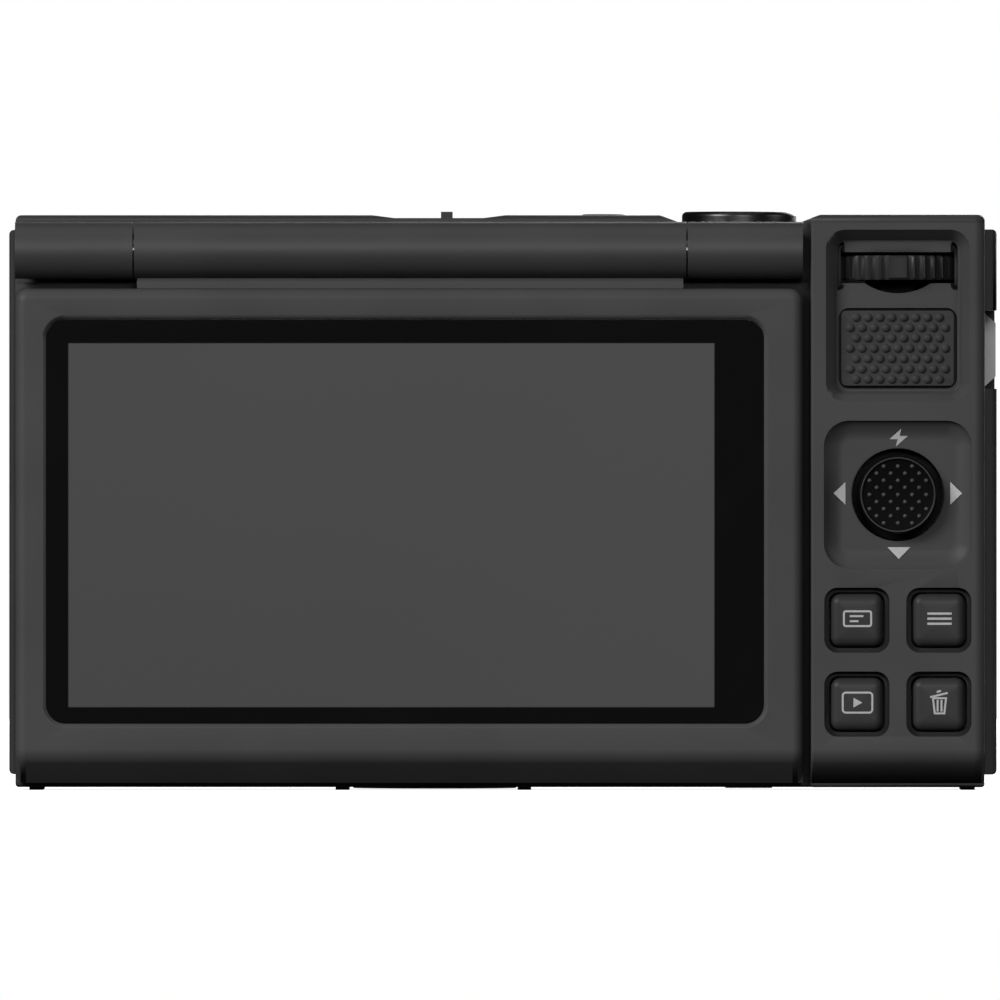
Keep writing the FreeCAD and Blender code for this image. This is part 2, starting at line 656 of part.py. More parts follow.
def rod(label, along, centre, radius, low, high):
    """A cylinder along an axis; centre gives its other two places in x, y, z order."""
    cylinder = doc.addObject("Part::Cylinder", label)
    cylinder.Placement = FreeCAD.Placement(FreeCAD.Vector(), TURNS[along])
    cylinder.setExpression("Radius", full(radius))
    cylinder.setExpression("Height", f"({full(high)}) - ({full(low)})")
    places = list(centre)
    places.insert("xyz".index(along), low)
    for axis, text in zip("xyz", places):
        cylinder.setExpression(f"Placement.Base.{axis}", full(text))
    return cylinder


def joined(label, *pieces):
    """Several solids made one, or kept side by side where they are apart."""
    fuse = doc.addObject("Part::MultiFuse", label)
    fuse.Shapes = list(pieces)
    return fuse


def without(label, base, *tools):
    """A solid less others."""
    cut = doc.addObject("Part::Cut", label)
    cut.Base = base
    cut.Tool = tools[0] if len(tools) == 1 else joined(f"{label}_tools", *tools)
    return cut


# ---- the case ----

def footprint(rear, block_rear):
    """Outline of the case from above, with its step beside the screen."""
    return polygon(
        ("body_left", rear), ("block_left", rear), ("block_left", block_rear),
        ("body_right", block_rear), ("body_right", "front_plane"), ("body_left", "front_plane"),
    )


def front_shell():
    """The front half of the case, with openings for the lens, flash and focus lamp."""
    body = new_body("front_shell")
    outline = rectangle("body_left", "body_right", "seam", "front_plane")
    extrude(body, "walls", "z", "shell_low", "shell_high", outline)
    ease(body, "Fillet", "corners", "front_corner", y=("front_plane", "front_plane"),
         z=("shell_low", "shell_high"), x=("body_left", "body_left"))
    ease(body, "Fillet", "other_corner", "front_corner", y=("front_plane", "front_plane"),
         z=("shell_low", "shell_high"), x=("body_right", "body_right"))
    inside = rectangle("inside_left", "inside_right", "seam", "inside_front")
    carve(body, "inside", "z", "shell_low", "shell_high", inside)
    flash = rounded("flash_x - flash_width / 2", "flash_x + flash_width / 2",
                    "flash_z - flash_tall / 2", "flash_z + flash_tall / 2", "edge_round")
    carve(body, "openings", "y", "inside_front", "front_plane",
          circle("lens_x", "lens_z", "lens_opening"), circle("lamp_x", "flash_z", "lamp_radius"), flash)
    return body


def key_places():
    """Column and row of each key, as expressions of its middle."""
    for column in (-0.5, 0.5):
        for row in (1, 0):
            across = f"block_middle + {column} * key_pitch_x"
            up = f"base_low + key_row + {row} * key_pitch_z"
            yield across, up


def square(across, up, size, radius):
    """A square with round corners about a middle."""
    return rounded(f"{across} - ({size}) / 2", f"{across} + ({size}) / 2",
                   f"{up} - ({size}) / 2", f"{up} + ({size}) / 2", radius)


def thumb_rest_cuts(body):
    """The recess for the thumb, the wheel's opening and hollows, and the pad's seat."""
    rest = rounded("rest_left", "rest_right", "rest_bottom", "shell_high - rest_top", "rest_corner")
    carve(body, "thumb_rest", "y", "rear_plane", "rest_floor", rest, lean="-rest_lean")
    ease(body, "Fillet", "rest_edge", "rest_foot", x=("rest_left", "rest_right"),
         y=("rest_floor", "rest_floor"), z=("rest_bottom", "shell_high"))
    for side, name in ((-1, "left"), (1, "right")):
        ends = sorted((f"block_middle + {side} * (wheel_slot - cheek_lap)",
                       f"block_middle + {side} * wheel_window / 2"), key=value)
        cheek = rounded(*ends, "wheel_z - cheek_low", "wheel_z + cheek_high", "cheek_corner")
        carve(body, f"{name}_cheek", "y", "rest_floor", "rest_floor + cheek_depth", cheek,
              lean="-cheek_lean")
    opening = rectangle("block_middle - wheel_slot", "block_middle + wheel_slot",
                        "wheel_z - wheel_reach", "wheel_z + wheel_reach")
    carve(body, "wheel_opening", "y", "rest_floor", "block_inside", opening)
    scoop = bow("block_middle", "sqrt(2 * scoop_radius * scoop_tall - scoop_tall ^ 2)",
                "wheel_z", "scoop_radius")
    carve(body, "scoop", "y", "rest_floor", "block_inside", scoop)
    seat = rounded("block_middle - pad_width / 2", "block_middle + pad_width / 2",
                   "pad_low", "pad_low + pad_height", "pad_corner")
    carve(body, "pad_seat", "y", "rest_floor", "rest_floor + pad_sink", seat)


def rear_shell():
    """The rear half of the case: the wall behind the screen and the control panel."""
    body = new_body("rear_shell")
    outline = polygon(
        ("body_left", "bay_plane"), ("block_left", "bay_plane"), ("block_left", "rear_plane"),
        ("body_right", "rear_plane"), ("body_right", "seam"), ("body_left", "seam"),
    )
    extrude(body, "walls", "z", "shell_low", "shell_high", outline)
    bevel = polygon(("rear_plane", "shell_low"), ("rear_plane + bevel_depth", "shell_low"),
                    ("rear_plane", "shell_low + bevel_height"))
    carve(body, "bevel", "x", "block_left", "body_right", bevel)
    ease(body, "Fillet", "outer_edge", "block_round", x=("body_right", "body_right"),
         y=("rear_plane", "rear_plane + bevel_depth"))
    ease(body, "Fillet", "bevel_edge", "bevel_round", y=("rear_plane", "rear_plane"),
         z=("shell_low + bevel_height", "shell_low + bevel_height"))
    ease(body, "Fillet", "inner_edge", "edge_round / 2", x=("block_left", "block_left"),
         y=("rear_plane", "rear_plane"))
    inside = rectangle("inside_left", "inside_right", "inside_rear", "seam")
    carve(body, "inside", "z", "shell_low", "shell_high", inside)
    behind_keys = rectangle("block_left + wall", "inside_right", "block_inside", "inside_rear")
    carve(body, "behind_keys", "z", "shell_low + block_floor", "shell_high", behind_keys)
    trough = rectangle("bay_plane", "trough", "trough_low", "shell_high")
    carve(body, "trough", "x", "body_left", "block_left", trough)
    thumb_rest_cuts(body)
    dish = square("stick_x", "stick_z", "dish_size", "dish_corner")
    carve(body, "dish_rim", "y", "rear_plane", "rear_plane + dish_step", dish)
    carve(body, "dish", "y", "rear_plane + dish_step", "dish_floor", dish, lean="-dish_lean")
    ease(body, "Fillet", "dish_edge", "dish_foot", x=("block_left", "body_right"),
         y=("dish_floor", "dish_floor"), z=("stick_z - dish_size / 2", "stick_z + dish_size / 2"))
    carve(body, "stick_hole", "y", "dish_floor", "block_inside", circle("stick_x", "stick_z", "stick_hole"))
    recesses = [square(across, up, "key_hole", "key_corner") for across, up in key_places()]
    carve(body, "key_recesses", "y", "rear_plane", "rear_plane + key_sink", *recesses)
    holes = [square(across, up, "key_size + 2 * key_gap", "key_cap_corner") for across, up in key_places()]
    carve(body, "key_holes", "y", "rear_plane + key_sink", "block_inside", *holes)
    pocket = rectangle("-lug_deep / 2", "lug_deep / 2", "lug_low + lug_end", "lug_high - lug_end")
    carve(body, "lug_pocket", "x", "body_right - lug_pocket", "body_right", pocket)
    return body


def top_cover():
    """The top plate, dipped around the slider and the shutter button, with its openings."""
    body = new_body("top_cover")
    extrude(body, "plate", "z", "shell_high", "top_plane", footprint("trough", "rear_plane + edge_round"))
    for side in ("body_left", "body_right"):
        ease(body, "Fillet", f"corner_{side}", "front_corner", x=(side, side),
             y=("front_plane", "front_plane"))
    ease(body, "Fillet", "rear_corner", "block_round", x=("body_right", "body_right"),
         y=("rear_plane + edge_round", "rear_plane + edge_round"))
    ease(body, "Fillet", "top_edge", "edge_round", z=("top_plane", "top_plane"))
    inset = rectangle("inside_left + lip_gap", "inside_right - lip_gap",
                      "inside_rear + lip_gap", "inside_front - lip_gap")
    extrude(body, "lip", "z", "lip_low", "shell_high", inset)
    valley = polygon(
        ("shutter_x - valley_half", "top_plane - valley_depth"),
        ("shutter_x + valley_half", "top_plane - valley_depth"),
        ("shutter_x + valley_half + valley_slope", "top_plane"),
        ("shutter_x - valley_half - valley_slope", "top_plane"),
    )
    dip = polygon(
        ("dip_x - dip_half", "top_plane - dip_depth"), ("dip_x + dip_half", "top_plane - dip_depth"),
        ("dip_x + dip_half + dip_slope", "top_plane"), ("dip_x - dip_half - dip_slope", "top_plane"),
    )
    carve(body, "dips", "y", "rear_plane", "front_plane", valley, dip)
    slot = rectangle(
        "slider_x - slider_width / 2 - slider_travel - button_gap",
        "slider_x + slider_width / 2 + button_gap",
        "shutter_y - slider_length / 2 - button_gap", "shutter_y + slider_length / 2 + button_gap",
    )
    sounds = [
        rectangle(f"body_left + mic_left + {turn} * mic_step",
                  f"body_left + mic_left + {turn} * mic_step + mic_length",
                  "shutter_y - mic_width / 2", "shutter_y + mic_width / 2")
        for turn in (0, 1)
    ]
    carve(body, "openings", "z", "lip_low", "top_plane",
          circle("shutter_x", "shutter_y", "shutter_radius + button_gap"),
          circle("power_x", "shutter_y", "power_radius + button_gap"), slot, *sounds)
    return body


def door_opening(body, low, high):
    """The hole that the battery door fills."""
    opening = rectangle("door_left - door_thickness / 2 - door_gap", "door_right + door_gap",
                        "door_front - door_gap", "door_back + door_gap")
    carve(body, "door_opening", "z", low, high, opening)


def screw_places():
    """Middles of the four screws in the left part of the frame."""
    for across in ("inside_left + screw_edge", "door_left - screw_edge"):
        for along in ("inside_rear + screw_edge / 2", "inside_front - screw_edge / 2"):
            yield across, along


def base_plate():
    """The underside, with the tripod boss, the door's opening and the screw holes."""
    body = new_body("base_plate")
    extrude(body, "plate", "z", "base_low", "shell_low", footprint("bay_plane", "rear_plane + bevel_depth"))
    for side in ("body_left", "body_right"):
        ease(body, "Fillet", f"corner_{side}", "front_corner", x=(side, side),
             y=("front_plane", "front_plane"))
    ease(body, "Fillet", "low_edge", "base_round", z=("base_low", "base_low"))
    inset = rectangle("inside_left + lip_gap", "inside_right - lip_gap",
                      "inside_rear + lip_gap", "inside_front - lip_gap")
    extrude(body, "lip", "z", "shell_low", "lip_high", inset)
    boss = circle("lens_x", "tripod_y", "boss_radius")
    extrude(body, "boss", "z", "base_low - boss_height", "base_low", boss)
    door_opening(body, "base_low", "lip_high")
    seat = circle("lens_x", "tripod_y", "socket_flange")
    carve(body, "flange_seat", "z", "base_low - boss_height", "base_low + socket_flange_depth", seat)
    hole = circle("lens_x", "tripod_y", "socket_radius")
    carve(body, "insert_hole", "z", "base_low + socket_flange_depth", "lip_high", hole)
    heads = [circle(across, along, "screw_head") for across, along in screw_places()]
    carve(body, "screw_heads", "z", "base_low", "base_low + screw_sink", *heads)
    shanks = [circle(across, along, "screw_shank") for across, along in screw_places()]
    carve(body, "screw_holes", "z", "base_low + screw_sink", "lip_high", *shanks)
    pin = circle("door_left", "door_z", "door_pin")
    carve(body, "pin_hole", "y", "door_front - door_gap - pin_grip", "door_back + door_gap + pin_grip", pin)
    return body


def side_trim_left():
    """The strip on the left face, with the port cover's window."""
    body = new_body("side_trim_left")
    strip = rectangle("inside_rear + trim_inset", "inside_front - trim_inset", "trim_low", "trim_high")
    extrude(body, "strip", "x", "trim_left_face", "body_left", strip)
    ease(body, "Fillet", "edges", "trim_round", x=("trim_left_face", "trim_left_face"))
    window = rectangle("port_y - port_deep / 2 - port_gap", "port_y + port_deep / 2 + port_gap",
                       "port_low - port_gap", "port_low + port_tall + port_gap")
    carve(body, "window", "x", "trim_left_face", "body_left", window)
    return body


def side_trim_right():
    """The strip on the right face, notched from the lug back to its rear edge."""
    body = new_body("side_trim_right")
    strip = rectangle("block_inside", "inside_front - trim_inset", "trim_low", "trim_high")
    extrude(body, "strip", "x", "body_right", "lug_face", strip)
    ease(body, "Fillet", "edges", "trim_round", x=("lug_face", "lug_face"))
    notch = rectangle("block_inside", "lug_deep / 2 + port_gap",
                      "lug_low - port_gap", "lug_high + port_gap")
    carve(body, "notch", "x", "body_right", "lug_face", notch)
    return body


def strap_lug():
    """A metal eyelet with two slots and a bar between them; its ends slant."""
    body = new_body("strap_lug")
    profile = polygon(
        ("body_right", "lug_low"), ("lug_face", "lug_low + lug_slant"),
        ("lug_face", "lug_high - lug_slant"), ("body_right", "lug_high"),
    )
    extrude(body, "plate", "y", "-lug_deep / 2", "lug_deep / 2", profile)
    hollow = rectangle("lug_bar / 2", "lug_bar / 2 + lug_slot", "lug_low + lug_end", "lug_high - lug_end")
    other = rectangle("-lug_bar / 2 - lug_slot", "-lug_bar / 2", "lug_low + lug_end", "lug_high - lug_end")
    carve(body, "slots", "x", "body_right", "lug_face", hollow, other)
    behind = rectangle("-lug_bar / 2 - lug_slot", "lug_bar / 2 + lug_slot",
                       "lug_low + lug_end", "lug_high - lug_end")
    carve(body, "behind_bar", "x", "body_right", "lug_face - lug_thickness", behind)
    return body


# ---- the hinge and the screen ----

def knuckle(label, left, right):
    """A fixed end of the hinge: a round end with a foot against the case, bored for its pin."""
    body = new_body(label)
    extrude(body, "round", "x", left, right, circle("hinge_y", "hinge_z", "barrel_radius"))
    foot = rectangle("hinge_y", "trough", "hinge_z - knuckle_foot", "hinge_z + knuckle_foot")
    extrude(body, "foot", "x", left, right, foot)
    return body


def knuckles_and_pins():
    """Both fixed knuckles and the two pins that the screen turns on."""
    left = knuckle("hinge_knuckle_left", "body_left", "body_left + knuckle_left")
    carve(left, "pin_hole", "x", "body_left + knuckle_left - pin_half", "body_left + knuckle_left",
          circle("hinge_y", "hinge_z", "pin_radius"))
    right = knuckle("hinge_knuckle_right", "screen_right - knuckle_right", "screen_right")
    carve(right, "pin_hole", "x", "screen_right - knuckle_right", "screen_right - knuckle_right + pin_half",
          circle("hinge_y", "hinge_z", "pin_radius"))
    place = ("hinge_y", "hinge_z")
    pin_a = rod("hinge_pin_a", "x", place, "pin_radius", "body_left + knuckle_left - pin_half",
                "body_left + knuckle_left + pin_half")
    pin_b = rod("hinge_pin_b", "x", place, "pin_radius", "screen_right - knuckle_right - pin_half",
                "screen_right - knuckle_right + pin_half")
    joined("hinge_pins", pin_a, pin_b)


def hinge_barrel():
    """The turning middle of the hinge, with the web that carries the screen."""
    body = new_body("hinge_barrel")
    extrude(body, "round", "x", "barrel_left", "barrel_right",
            circle("hinge_y", "hinge_z", "barrel_radius"))
    web = rectangle("bezel_back - neck_thickness", "bezel_back", "screen_top", "hinge_z")
    extrude(body, "web", "x", "barrel_left + neck_inset", "barrel_right - neck_inset", web)
    lip = rectangle("bezel_back - lip_depth", "bezel_back", "screen_top", "screen_top + lip_height")
    extrude(body, "lip", "x", "barrel_left + neck_inset", "barrel_right - neck_inset", lip)
    bore = circle("hinge_y", "hinge_z", "pin_radius + running_gap")
    carve(body, "left_bore", "x", "barrel_left", "barrel_left + pin_half", bore)
    carve(body, "right_bore", "x", "barrel_right - pin_half", "barrel_right", bore)
    return body


def screen_bezel():
    """The frame round the glass, slanted along its lower edge."""
    body = new_body("screen_bezel")
    outline = rectangle("screen_left", "screen_right", "screen_low", "screen_top")
    extrude(body, "frame", "y", "rear_plane", "bezel_back", outline)
    bevel = polygon(("rear_plane", "screen_low"), ("rear_plane + bevel_depth", "screen_low"),
                    ("rear_plane", "screen_low + bevel_height"))
    carve(body, "bevel", "x", "screen_left", "screen_right", bevel)
    for side in ("screen_left", "screen_right"):
        ease(body, "Fillet", f"corner_{side}", "bezel_corner", x=(side, side),
             z=("screen_top", "screen_top"))
    ease(body, "Fillet", "bevel_edge", "bevel_round", y=("rear_plane", "rear_plane"),
         z=("screen_low + bevel_height", "screen_low + bevel_height"))
    ease(body, "Fillet", "edges", "bezel_round", y=("rear_plane", "rear_plane"))
    window = rounded("glass_left", "glass_right", "glass_low", "glass_top", "window_corner")
    carve(body, "window", "y", "rear_plane", "bezel_back", window)
    ease(body, "Chamfer", "window_edge", "window_slope", x=("glass_left", "glass_right"),
         y=("rear_plane", "rear_plane"), z=("glass_low", "glass_top"))
    return body


def screen_back_cover():
    """The back of the screen, hollowed for the display cell."""
    body = new_body("screen_back_cover")
    outline = rectangle("screen_left", "screen_right", "screen_low", "screen_top")
    extrude(body, "plate", "y", "bezel_back", "screen_back", outline)
    for side in ("screen_left", "screen_right"):
        ease(body, "Fillet", f"corner_{side}", "bezel_corner", x=(side, side),
             z=("screen_top", "screen_top"))
    ease(body, "Fillet", "edges", "edge_round", y=("screen_back", "screen_back"))
    tray = rectangle("lit_left - display_margin", "lit_right + display_margin",
                     "lit_low - display_margin", "lit_top + display_margin")
    carve(body, "tray", "y", "bezel_back", "cell_back", tray)
    return body


def screen_layers():
    """Cover glass and, under it, the display cell."""
    glass = new_body("screen_glass")
    outline = rounded("glass_left", "glass_right", "glass_low", "glass_top", "window_corner")
    extrude(glass, "plate", "y", "glass_face", "cell_face", outline)
    across = ("lit_left - display_margin", "lit_right + display_margin")
    up = ("lit_low - display_margin", "lit_top + display_margin")
    block("display_cell", across, ("cell_face", "cell_back"), up)


# ---- thumb rest ----

def thumb_pad():
    """The rubber pad under the thumb wheel."""
    body = new_body("thumb_pad")
    outline = rounded("block_middle - pad_width / 2", "block_middle + pad_width / 2",
                      "pad_low", "pad_low + pad_height", "pad_corner")
    extrude(body, "pad", "y", "rest_floor - pad_proud", "rest_floor + pad_sink", outline)


def thumb_wheel():
    """A ribbed wheel with one flat on its rim, and the bracket that holds its shaft."""
    body = new_body("thumb_wheel")
    extrude(body, "disc", "z", "wheel_z - wheel_thickness / 2", "wheel_z + wheel_thickness / 2",
            circle("block_middle", "wheel_y", "wheel_radius"))
    flat = rectangle("block_middle - wheel_flat", "block_middle + wheel_flat",
                     "wheel_y - wheel_radius", "wheel_y - wheel_radius + wheel_cut")
    grooves = [
        circle(f"block_middle + wheel_radius * sin({step} * 360 deg / wheel_count)",
               f"wheel_y - wheel_radius * cos({step} * 360 deg / wheel_count)", "wheel_groove")
        for step in range(2, int(value("wheel_count")) - 1)
    ]
    bore = circle("block_middle", "wheel_y", "wheel_bore")
    carve(body, "rim_and_bore", "z", "wheel_z - wheel_thickness / 2", "wheel_z + wheel_thickness / 2",
          bore, flat, *grooves)
    low = "wheel_z - wheel_thickness / 2 - wheel_room"
    high = "wheel_z + wheel_thickness / 2 + wheel_room"
    centre = ("block_middle", "wheel_y")
    shaft = rod("wheel_shaft", "z", centre, "wheel_bore - running_gap", low, high)
    arms = [
        block(f"wheel_arm_{name}",
              ("block_middle - 2 * wheel_bore", "block_middle + 2 * wheel_bore"),
              ("wheel_y - 2 * wheel_bore", "wheel_y + wheel_radius + wall"), place)
        for name, place in (("low", (f"{low} - wall", low)), ("high", (high, f"{high} + wall / 2")))
    ]
    back = block("wheel_back", ("block_middle - 2 * wheel_bore", "block_middle + 2 * wheel_bore"),
                 ("wheel_y + wheel_radius + wheel_room", "wheel_y + wheel_radius + wall"),
                 (f"{low} - wall", f"{high} + wall / 2"))
    joined("wheel_bracket", *arms, back, shaft)


# ---- joystick and keys ----

def joystick():
    """A cradle, two rings that tilt on crossed axes, and a cap that also presses in."""
    ring_low = "pivot_y - ring_thickness / 2"
    ring_high = "pivot_y + ring_thickness / 2"
    place = ("stick_x", "stick_z")
    cradle = new_body("stick_cradle")
    extrude(cradle, "wall", "y", ring_low, "board_face", circle(*place, "cradle_outer"),
            circle(*place, "cradle_inner"))
    hole = circle("pivot_y", "stick_z", "pivot_radius + running_gap")
    carve(cradle, "pin_holes", "x", "stick_x - cradle_outer", "stick_x + cradle_outer", hole)
    outer = new_body("stick_outer_ring")
    extrude(outer, "ring", "y", ring_low, ring_high, circle(*place, "ring_outer"),
            circle(*place, "ring_inner"))
    pin = circle("pivot_y", "stick_z", "pivot_radius")
    reach = "cradle_outer - running_gap"
    extrude(outer, "right_pin", "x", "stick_x + (ring_outer + ring_inner) / 2", f"stick_x + {reach}", pin)
    extrude(outer, "left_pin", "x", f"stick_x - ({reach})", "stick_x - (ring_outer + ring_inner) / 2", pin)
    holes = circle("stick_x", "pivot_y", "pivot_radius + running_gap")
    carve(outer, "pin_holes", "z", "stick_z - ring_outer", "stick_z + ring_outer", holes)
    inner = new_body("stick_inner_ring")
    extrude(inner, "ring", "y", ring_low, ring_high, circle(*place, "core_radius"),
            circle(*place, "stem_radius + running_gap"))
    pin = circle("stick_x", "pivot_y", "pivot_radius")
    reach = "ring_outer - running_gap"
    middle = "(core_radius + stem_radius) / 2"
    extrude(inner, "upper_pin", "z", f"stick_z + {middle}", f"stick_z + {reach}", pin)
    extrude(inner, "lower_pin", "z", f"stick_z - ({reach})", f"stick_z - {middle}", pin)
    cap = new_body("stick_cap")
    extrude(cap, "cap", "y", "stick_face", "stick_face + cap_depth", circle(*place, "cap_radius"))
    ease(cap, "Fillet", "rim", "cap_depth / 3", y=("stick_face", "stick_face"))
    extrude(cap, "stem", "y", "stick_face + cap_depth", f"{ring_high} + press_travel",
            circle(*place, "stem_radius"))


KEYS = ("disp_key", "play_key", "menu_key", "trash_key")


def keys():
    """Four sprung key caps, each kept in by a flange behind the panel."""
    for label, (across, up) in zip(KEYS, key_places()):
        body = new_body(label)
        extrude(body, "cap", "y", "key_face", "key_back", square(across, up, "key_size", "key_cap_corner"))
        ease(body, "Fillet", "soft_edge", "key_round", y=("key_face", "key_face"))
        flange = square(across, up, "key_size + 2 * key_flange", "key_corner")
        extrude(body, "flange", "y", "key_back - key_foot", "key_back", flange)


def key_board():
    """The circuit board behind the keys, with their click domes."""
    plate = block("key_board_plate", ("block_left + wall + lip_gap", "inside_right - lip_gap"),
                  ("board_face", "board_back"), ("shell_low + block_floor", "rest_bottom"))
    domes = [
        rod(f"click_dome_{index}", "y", (across, up), "dome_radius", "dome_top", "board_face")
        for index, (across, up) in enumerate(key_places())
    ]
    joined("key_board", plate, *domes)


# ---- top controls ----

def round_button(label, across, radius, proud):
    """A round button with a flange that keeps it under the cover."""
    body = new_body(label)
    top = f"top_plane + {proud}"
    extrude(body, "cap", "z", "flange_low", top, circle(across, "shutter_y", radius))
    extrude(body, "flange", "z", "flange_low", "flange_top",
            circle(across, "shutter_y", f"{radius} + button_flange"))
    return body, top


def top_controls():
    """Shutter button, power button, mode slider and the board with their switches."""
    shutter, top = round_button("shutter_button", "shutter_x", "shutter_radius", "shutter_proud")
    ease(shutter, "Chamfer", "top_edge", "shutter_chamfer", z=(top, top))
    power, top = round_button("power_button", "power_x", "power_radius", "power_proud")
    ease(power, "Fillet", "top_edge", "power_proud * 0.9", z=(top, top))
    slider = new_body("mode_slider")
    stem = rectangle("slider_x - slider_width / 2", "slider_x + slider_width / 2",
                     "shutter_y - slider_length / 2", "shutter_y + slider_length / 2")
    extrude(slider, "nub", "z", "flange_low", "top_plane + slider_proud", stem)
    shoe = rectangle("slider_x - slider_width / 2 - slider_shoe",
                     "slider_x + slider_width / 2 + slider_shoe",
                     "shutter_y - slider_length / 2 - slider_shoe / 2",
                     "shutter_y + slider_length / 2 + slider_shoe / 2")
    extrude(slider, "shoe", "z", "flange_low", "flange_top", shoe)
    room = "(shutter_travel + key_gap)"
    board_top = f"flange_low - {room} - 2 * flange_thickness"
    plate = block("top_board_plate", ("dip_x - dip_half", "shutter_x + shutter_radius"),
                  ("inside_rear + lip_gap", "inside_front - flash_back - lip_gap"),
                  (f"{board_top} - board_depth", board_top))
    switches = [
        rod(f"switch_{across}", "z", (across, "shutter_y"), "power_radius", board_top,
            f"flange_low - {room}")
        for across in ("shutter_x", "power_x", "slider_x")
    ]
    joined("top_board", plate, *switches)
    microphones = [
        rod(f"microphone_{turn}", "z",
            (f"body_left + mic_left + {turn} * mic_step + mic_length / 2", "shutter_y"),
            "mic_radius", "lip_low - mic_height", "lip_low")
        for turn in (0, 1)
    ]
    joined("microphones", *microphones)


# ---- lens ----

LENS = ("lens_x", "0", "lens_z")


def lens_tube(label, rear, front, outside, inside):
    """A plain tube on the lens axis."""
    body = new_body(label)
    turn(body, "tube", "y", LENS, rectangle(rear, front, inside, outside))
    return body


def fixed_lens_parts():
    """The ring on the front face, the tube behind it, the rear lens and the sensor."""
    ring = lens_tube("lens_ring", "front_plane", "front_plane + mount_proud", "mount_radius", "mount_bore")
    front = "front_plane + mount_proud"
    ease(ring, "Chamfer", "front_edge", "edge_round", y=(front, front))
    spigot = rectangle("inside_front", "front_plane", "mount_bore", "lens_opening")
    turn(ring, "spigot", "y", LENS, spigot)
    housing = lens_tube("lens_housing", "housing_back", "inside_front", "housing_radius", "housing_bore")
    plate = rectangle("housing_back", "tube_floor", "sensor_hole", "housing_bore")
    turn(housing, "rear_plate", "y", LENS, plate)
    rod("rear_lens", "y", ("lens_x", "lens_z"), "rear_glass_radius", "tube_floor",
        "tube_floor + rear_glass_depth")
    block("image_sensor", ("lens_x - sensor_width / 2", "lens_x + sensor_width / 2"),
          ("board_front", "housing_back"),
          ("lens_z - sensor_height / 2", "lens_z + sensor_height / 2"))


def zoom_barrels():
    """Two barrels that slide out one from the other, the front ring and the front lens."""
    outer = lens_tube("zoom_barrel_outer", "outer_rear", "outer_front", "outer_radius", "outer_bore")
    ease(outer, "Chamfer", "front_edge", "edge_round / 2", y=("outer_front", "outer_front"))
    inner = lens_tube("zoom_barrel_inner", "inner_rear", "inner_front", "inner_radius", "inner_bore")
    web = rectangle("web_rear", "web_front", "front_glass_radius", "inner_bore")
    turn(inner, "web", "y", LENS, web)
    for name, side in (("upper", 1), ("lower", -1)):
        pin = circle("pivot_x", f"lens_z + {side} * blade_rise", "blade_pin")
        extrude(inner, f"{name}_pin", "y", "web_front", "inner_front", pin)
    front = new_body("lens_front_ring")
    face = polygon(("inner_front", "aperture_radius"), ("inner_front", "inner_radius"),
                   ("lens_front - edge_round", "inner_radius"), ("lens_front", "inner_radius - edge_round"),
                   ("lens_front", "aperture_radius + ring_depth"))
    turn(front, "ring", "y", LENS, face)
    glass_top = "web_front - running_gap"
    rim = rod("front_lens_rim", "y", ("lens_x", "lens_z"), "front_glass_radius",
              f"{glass_top} - front_glass_depth", glass_top)
    dome = doc.addObject("Part::Sphere", "front_lens_dome")
    dome.setExpression("Radius", full("bulge_radius"))
    for axis, text in zip("xyz", ("lens_x", f"{glass_top} - bulge_radius", "lens_z")):
        dome.setExpression(f"Placement.Base.{axis}", full(text))
    glass = doc.addObject("Part::MultiCommon", "front_lens")
    glass.Shapes = [rim, dome]


def lens_doors():
    """Two thin blades that meet across the opening and swing apart on their pivots."""
    for name, side in (("upper", 1), ("lower", -1)):
        pivot_z = f"lens_z + {side} * blade_rise"
        body = new_body(f"lens_door_{name}")
        extrude(body, "blade", "y", "blade_low", "blade_low + blade_depth",
                circle("lens_x", "lens_z", "blade_radius"))
        extrude(body, "arm", "y", "blade_low", "blade_low + blade_depth",
                rectangle("pivot_x", "lens_x", f"{pivot_z} - blade_eye", f"{pivot_z} + blade_eye"))
        extrude(body, "eye", "y", "blade_low", "blade_low + blade_depth",
                circle("pivot_x", pivot_z, "blade_eye"))
        spare = ("-2 * blade_radius", "blade_gap") if side > 0 else ("-blade_gap", "2 * blade_radius")
        half = rectangle("pivot_x - 2 * blade_eye", "lens_x + 2 * blade_radius",
                         f"lens_z + {spare[0]}", f"lens_z + {spare[1]}")
        carve(body, "straight_edge", "y", "blade_low", "blade_low + blade_depth", half)
        carve(body, "pivot_hole", "y", "blade_low", "blade_low + blade_depth",
              circle("pivot_x", pivot_z, "blade_pin + running_gap"))


# ---- flash, focus lamp and what drives the lens ----

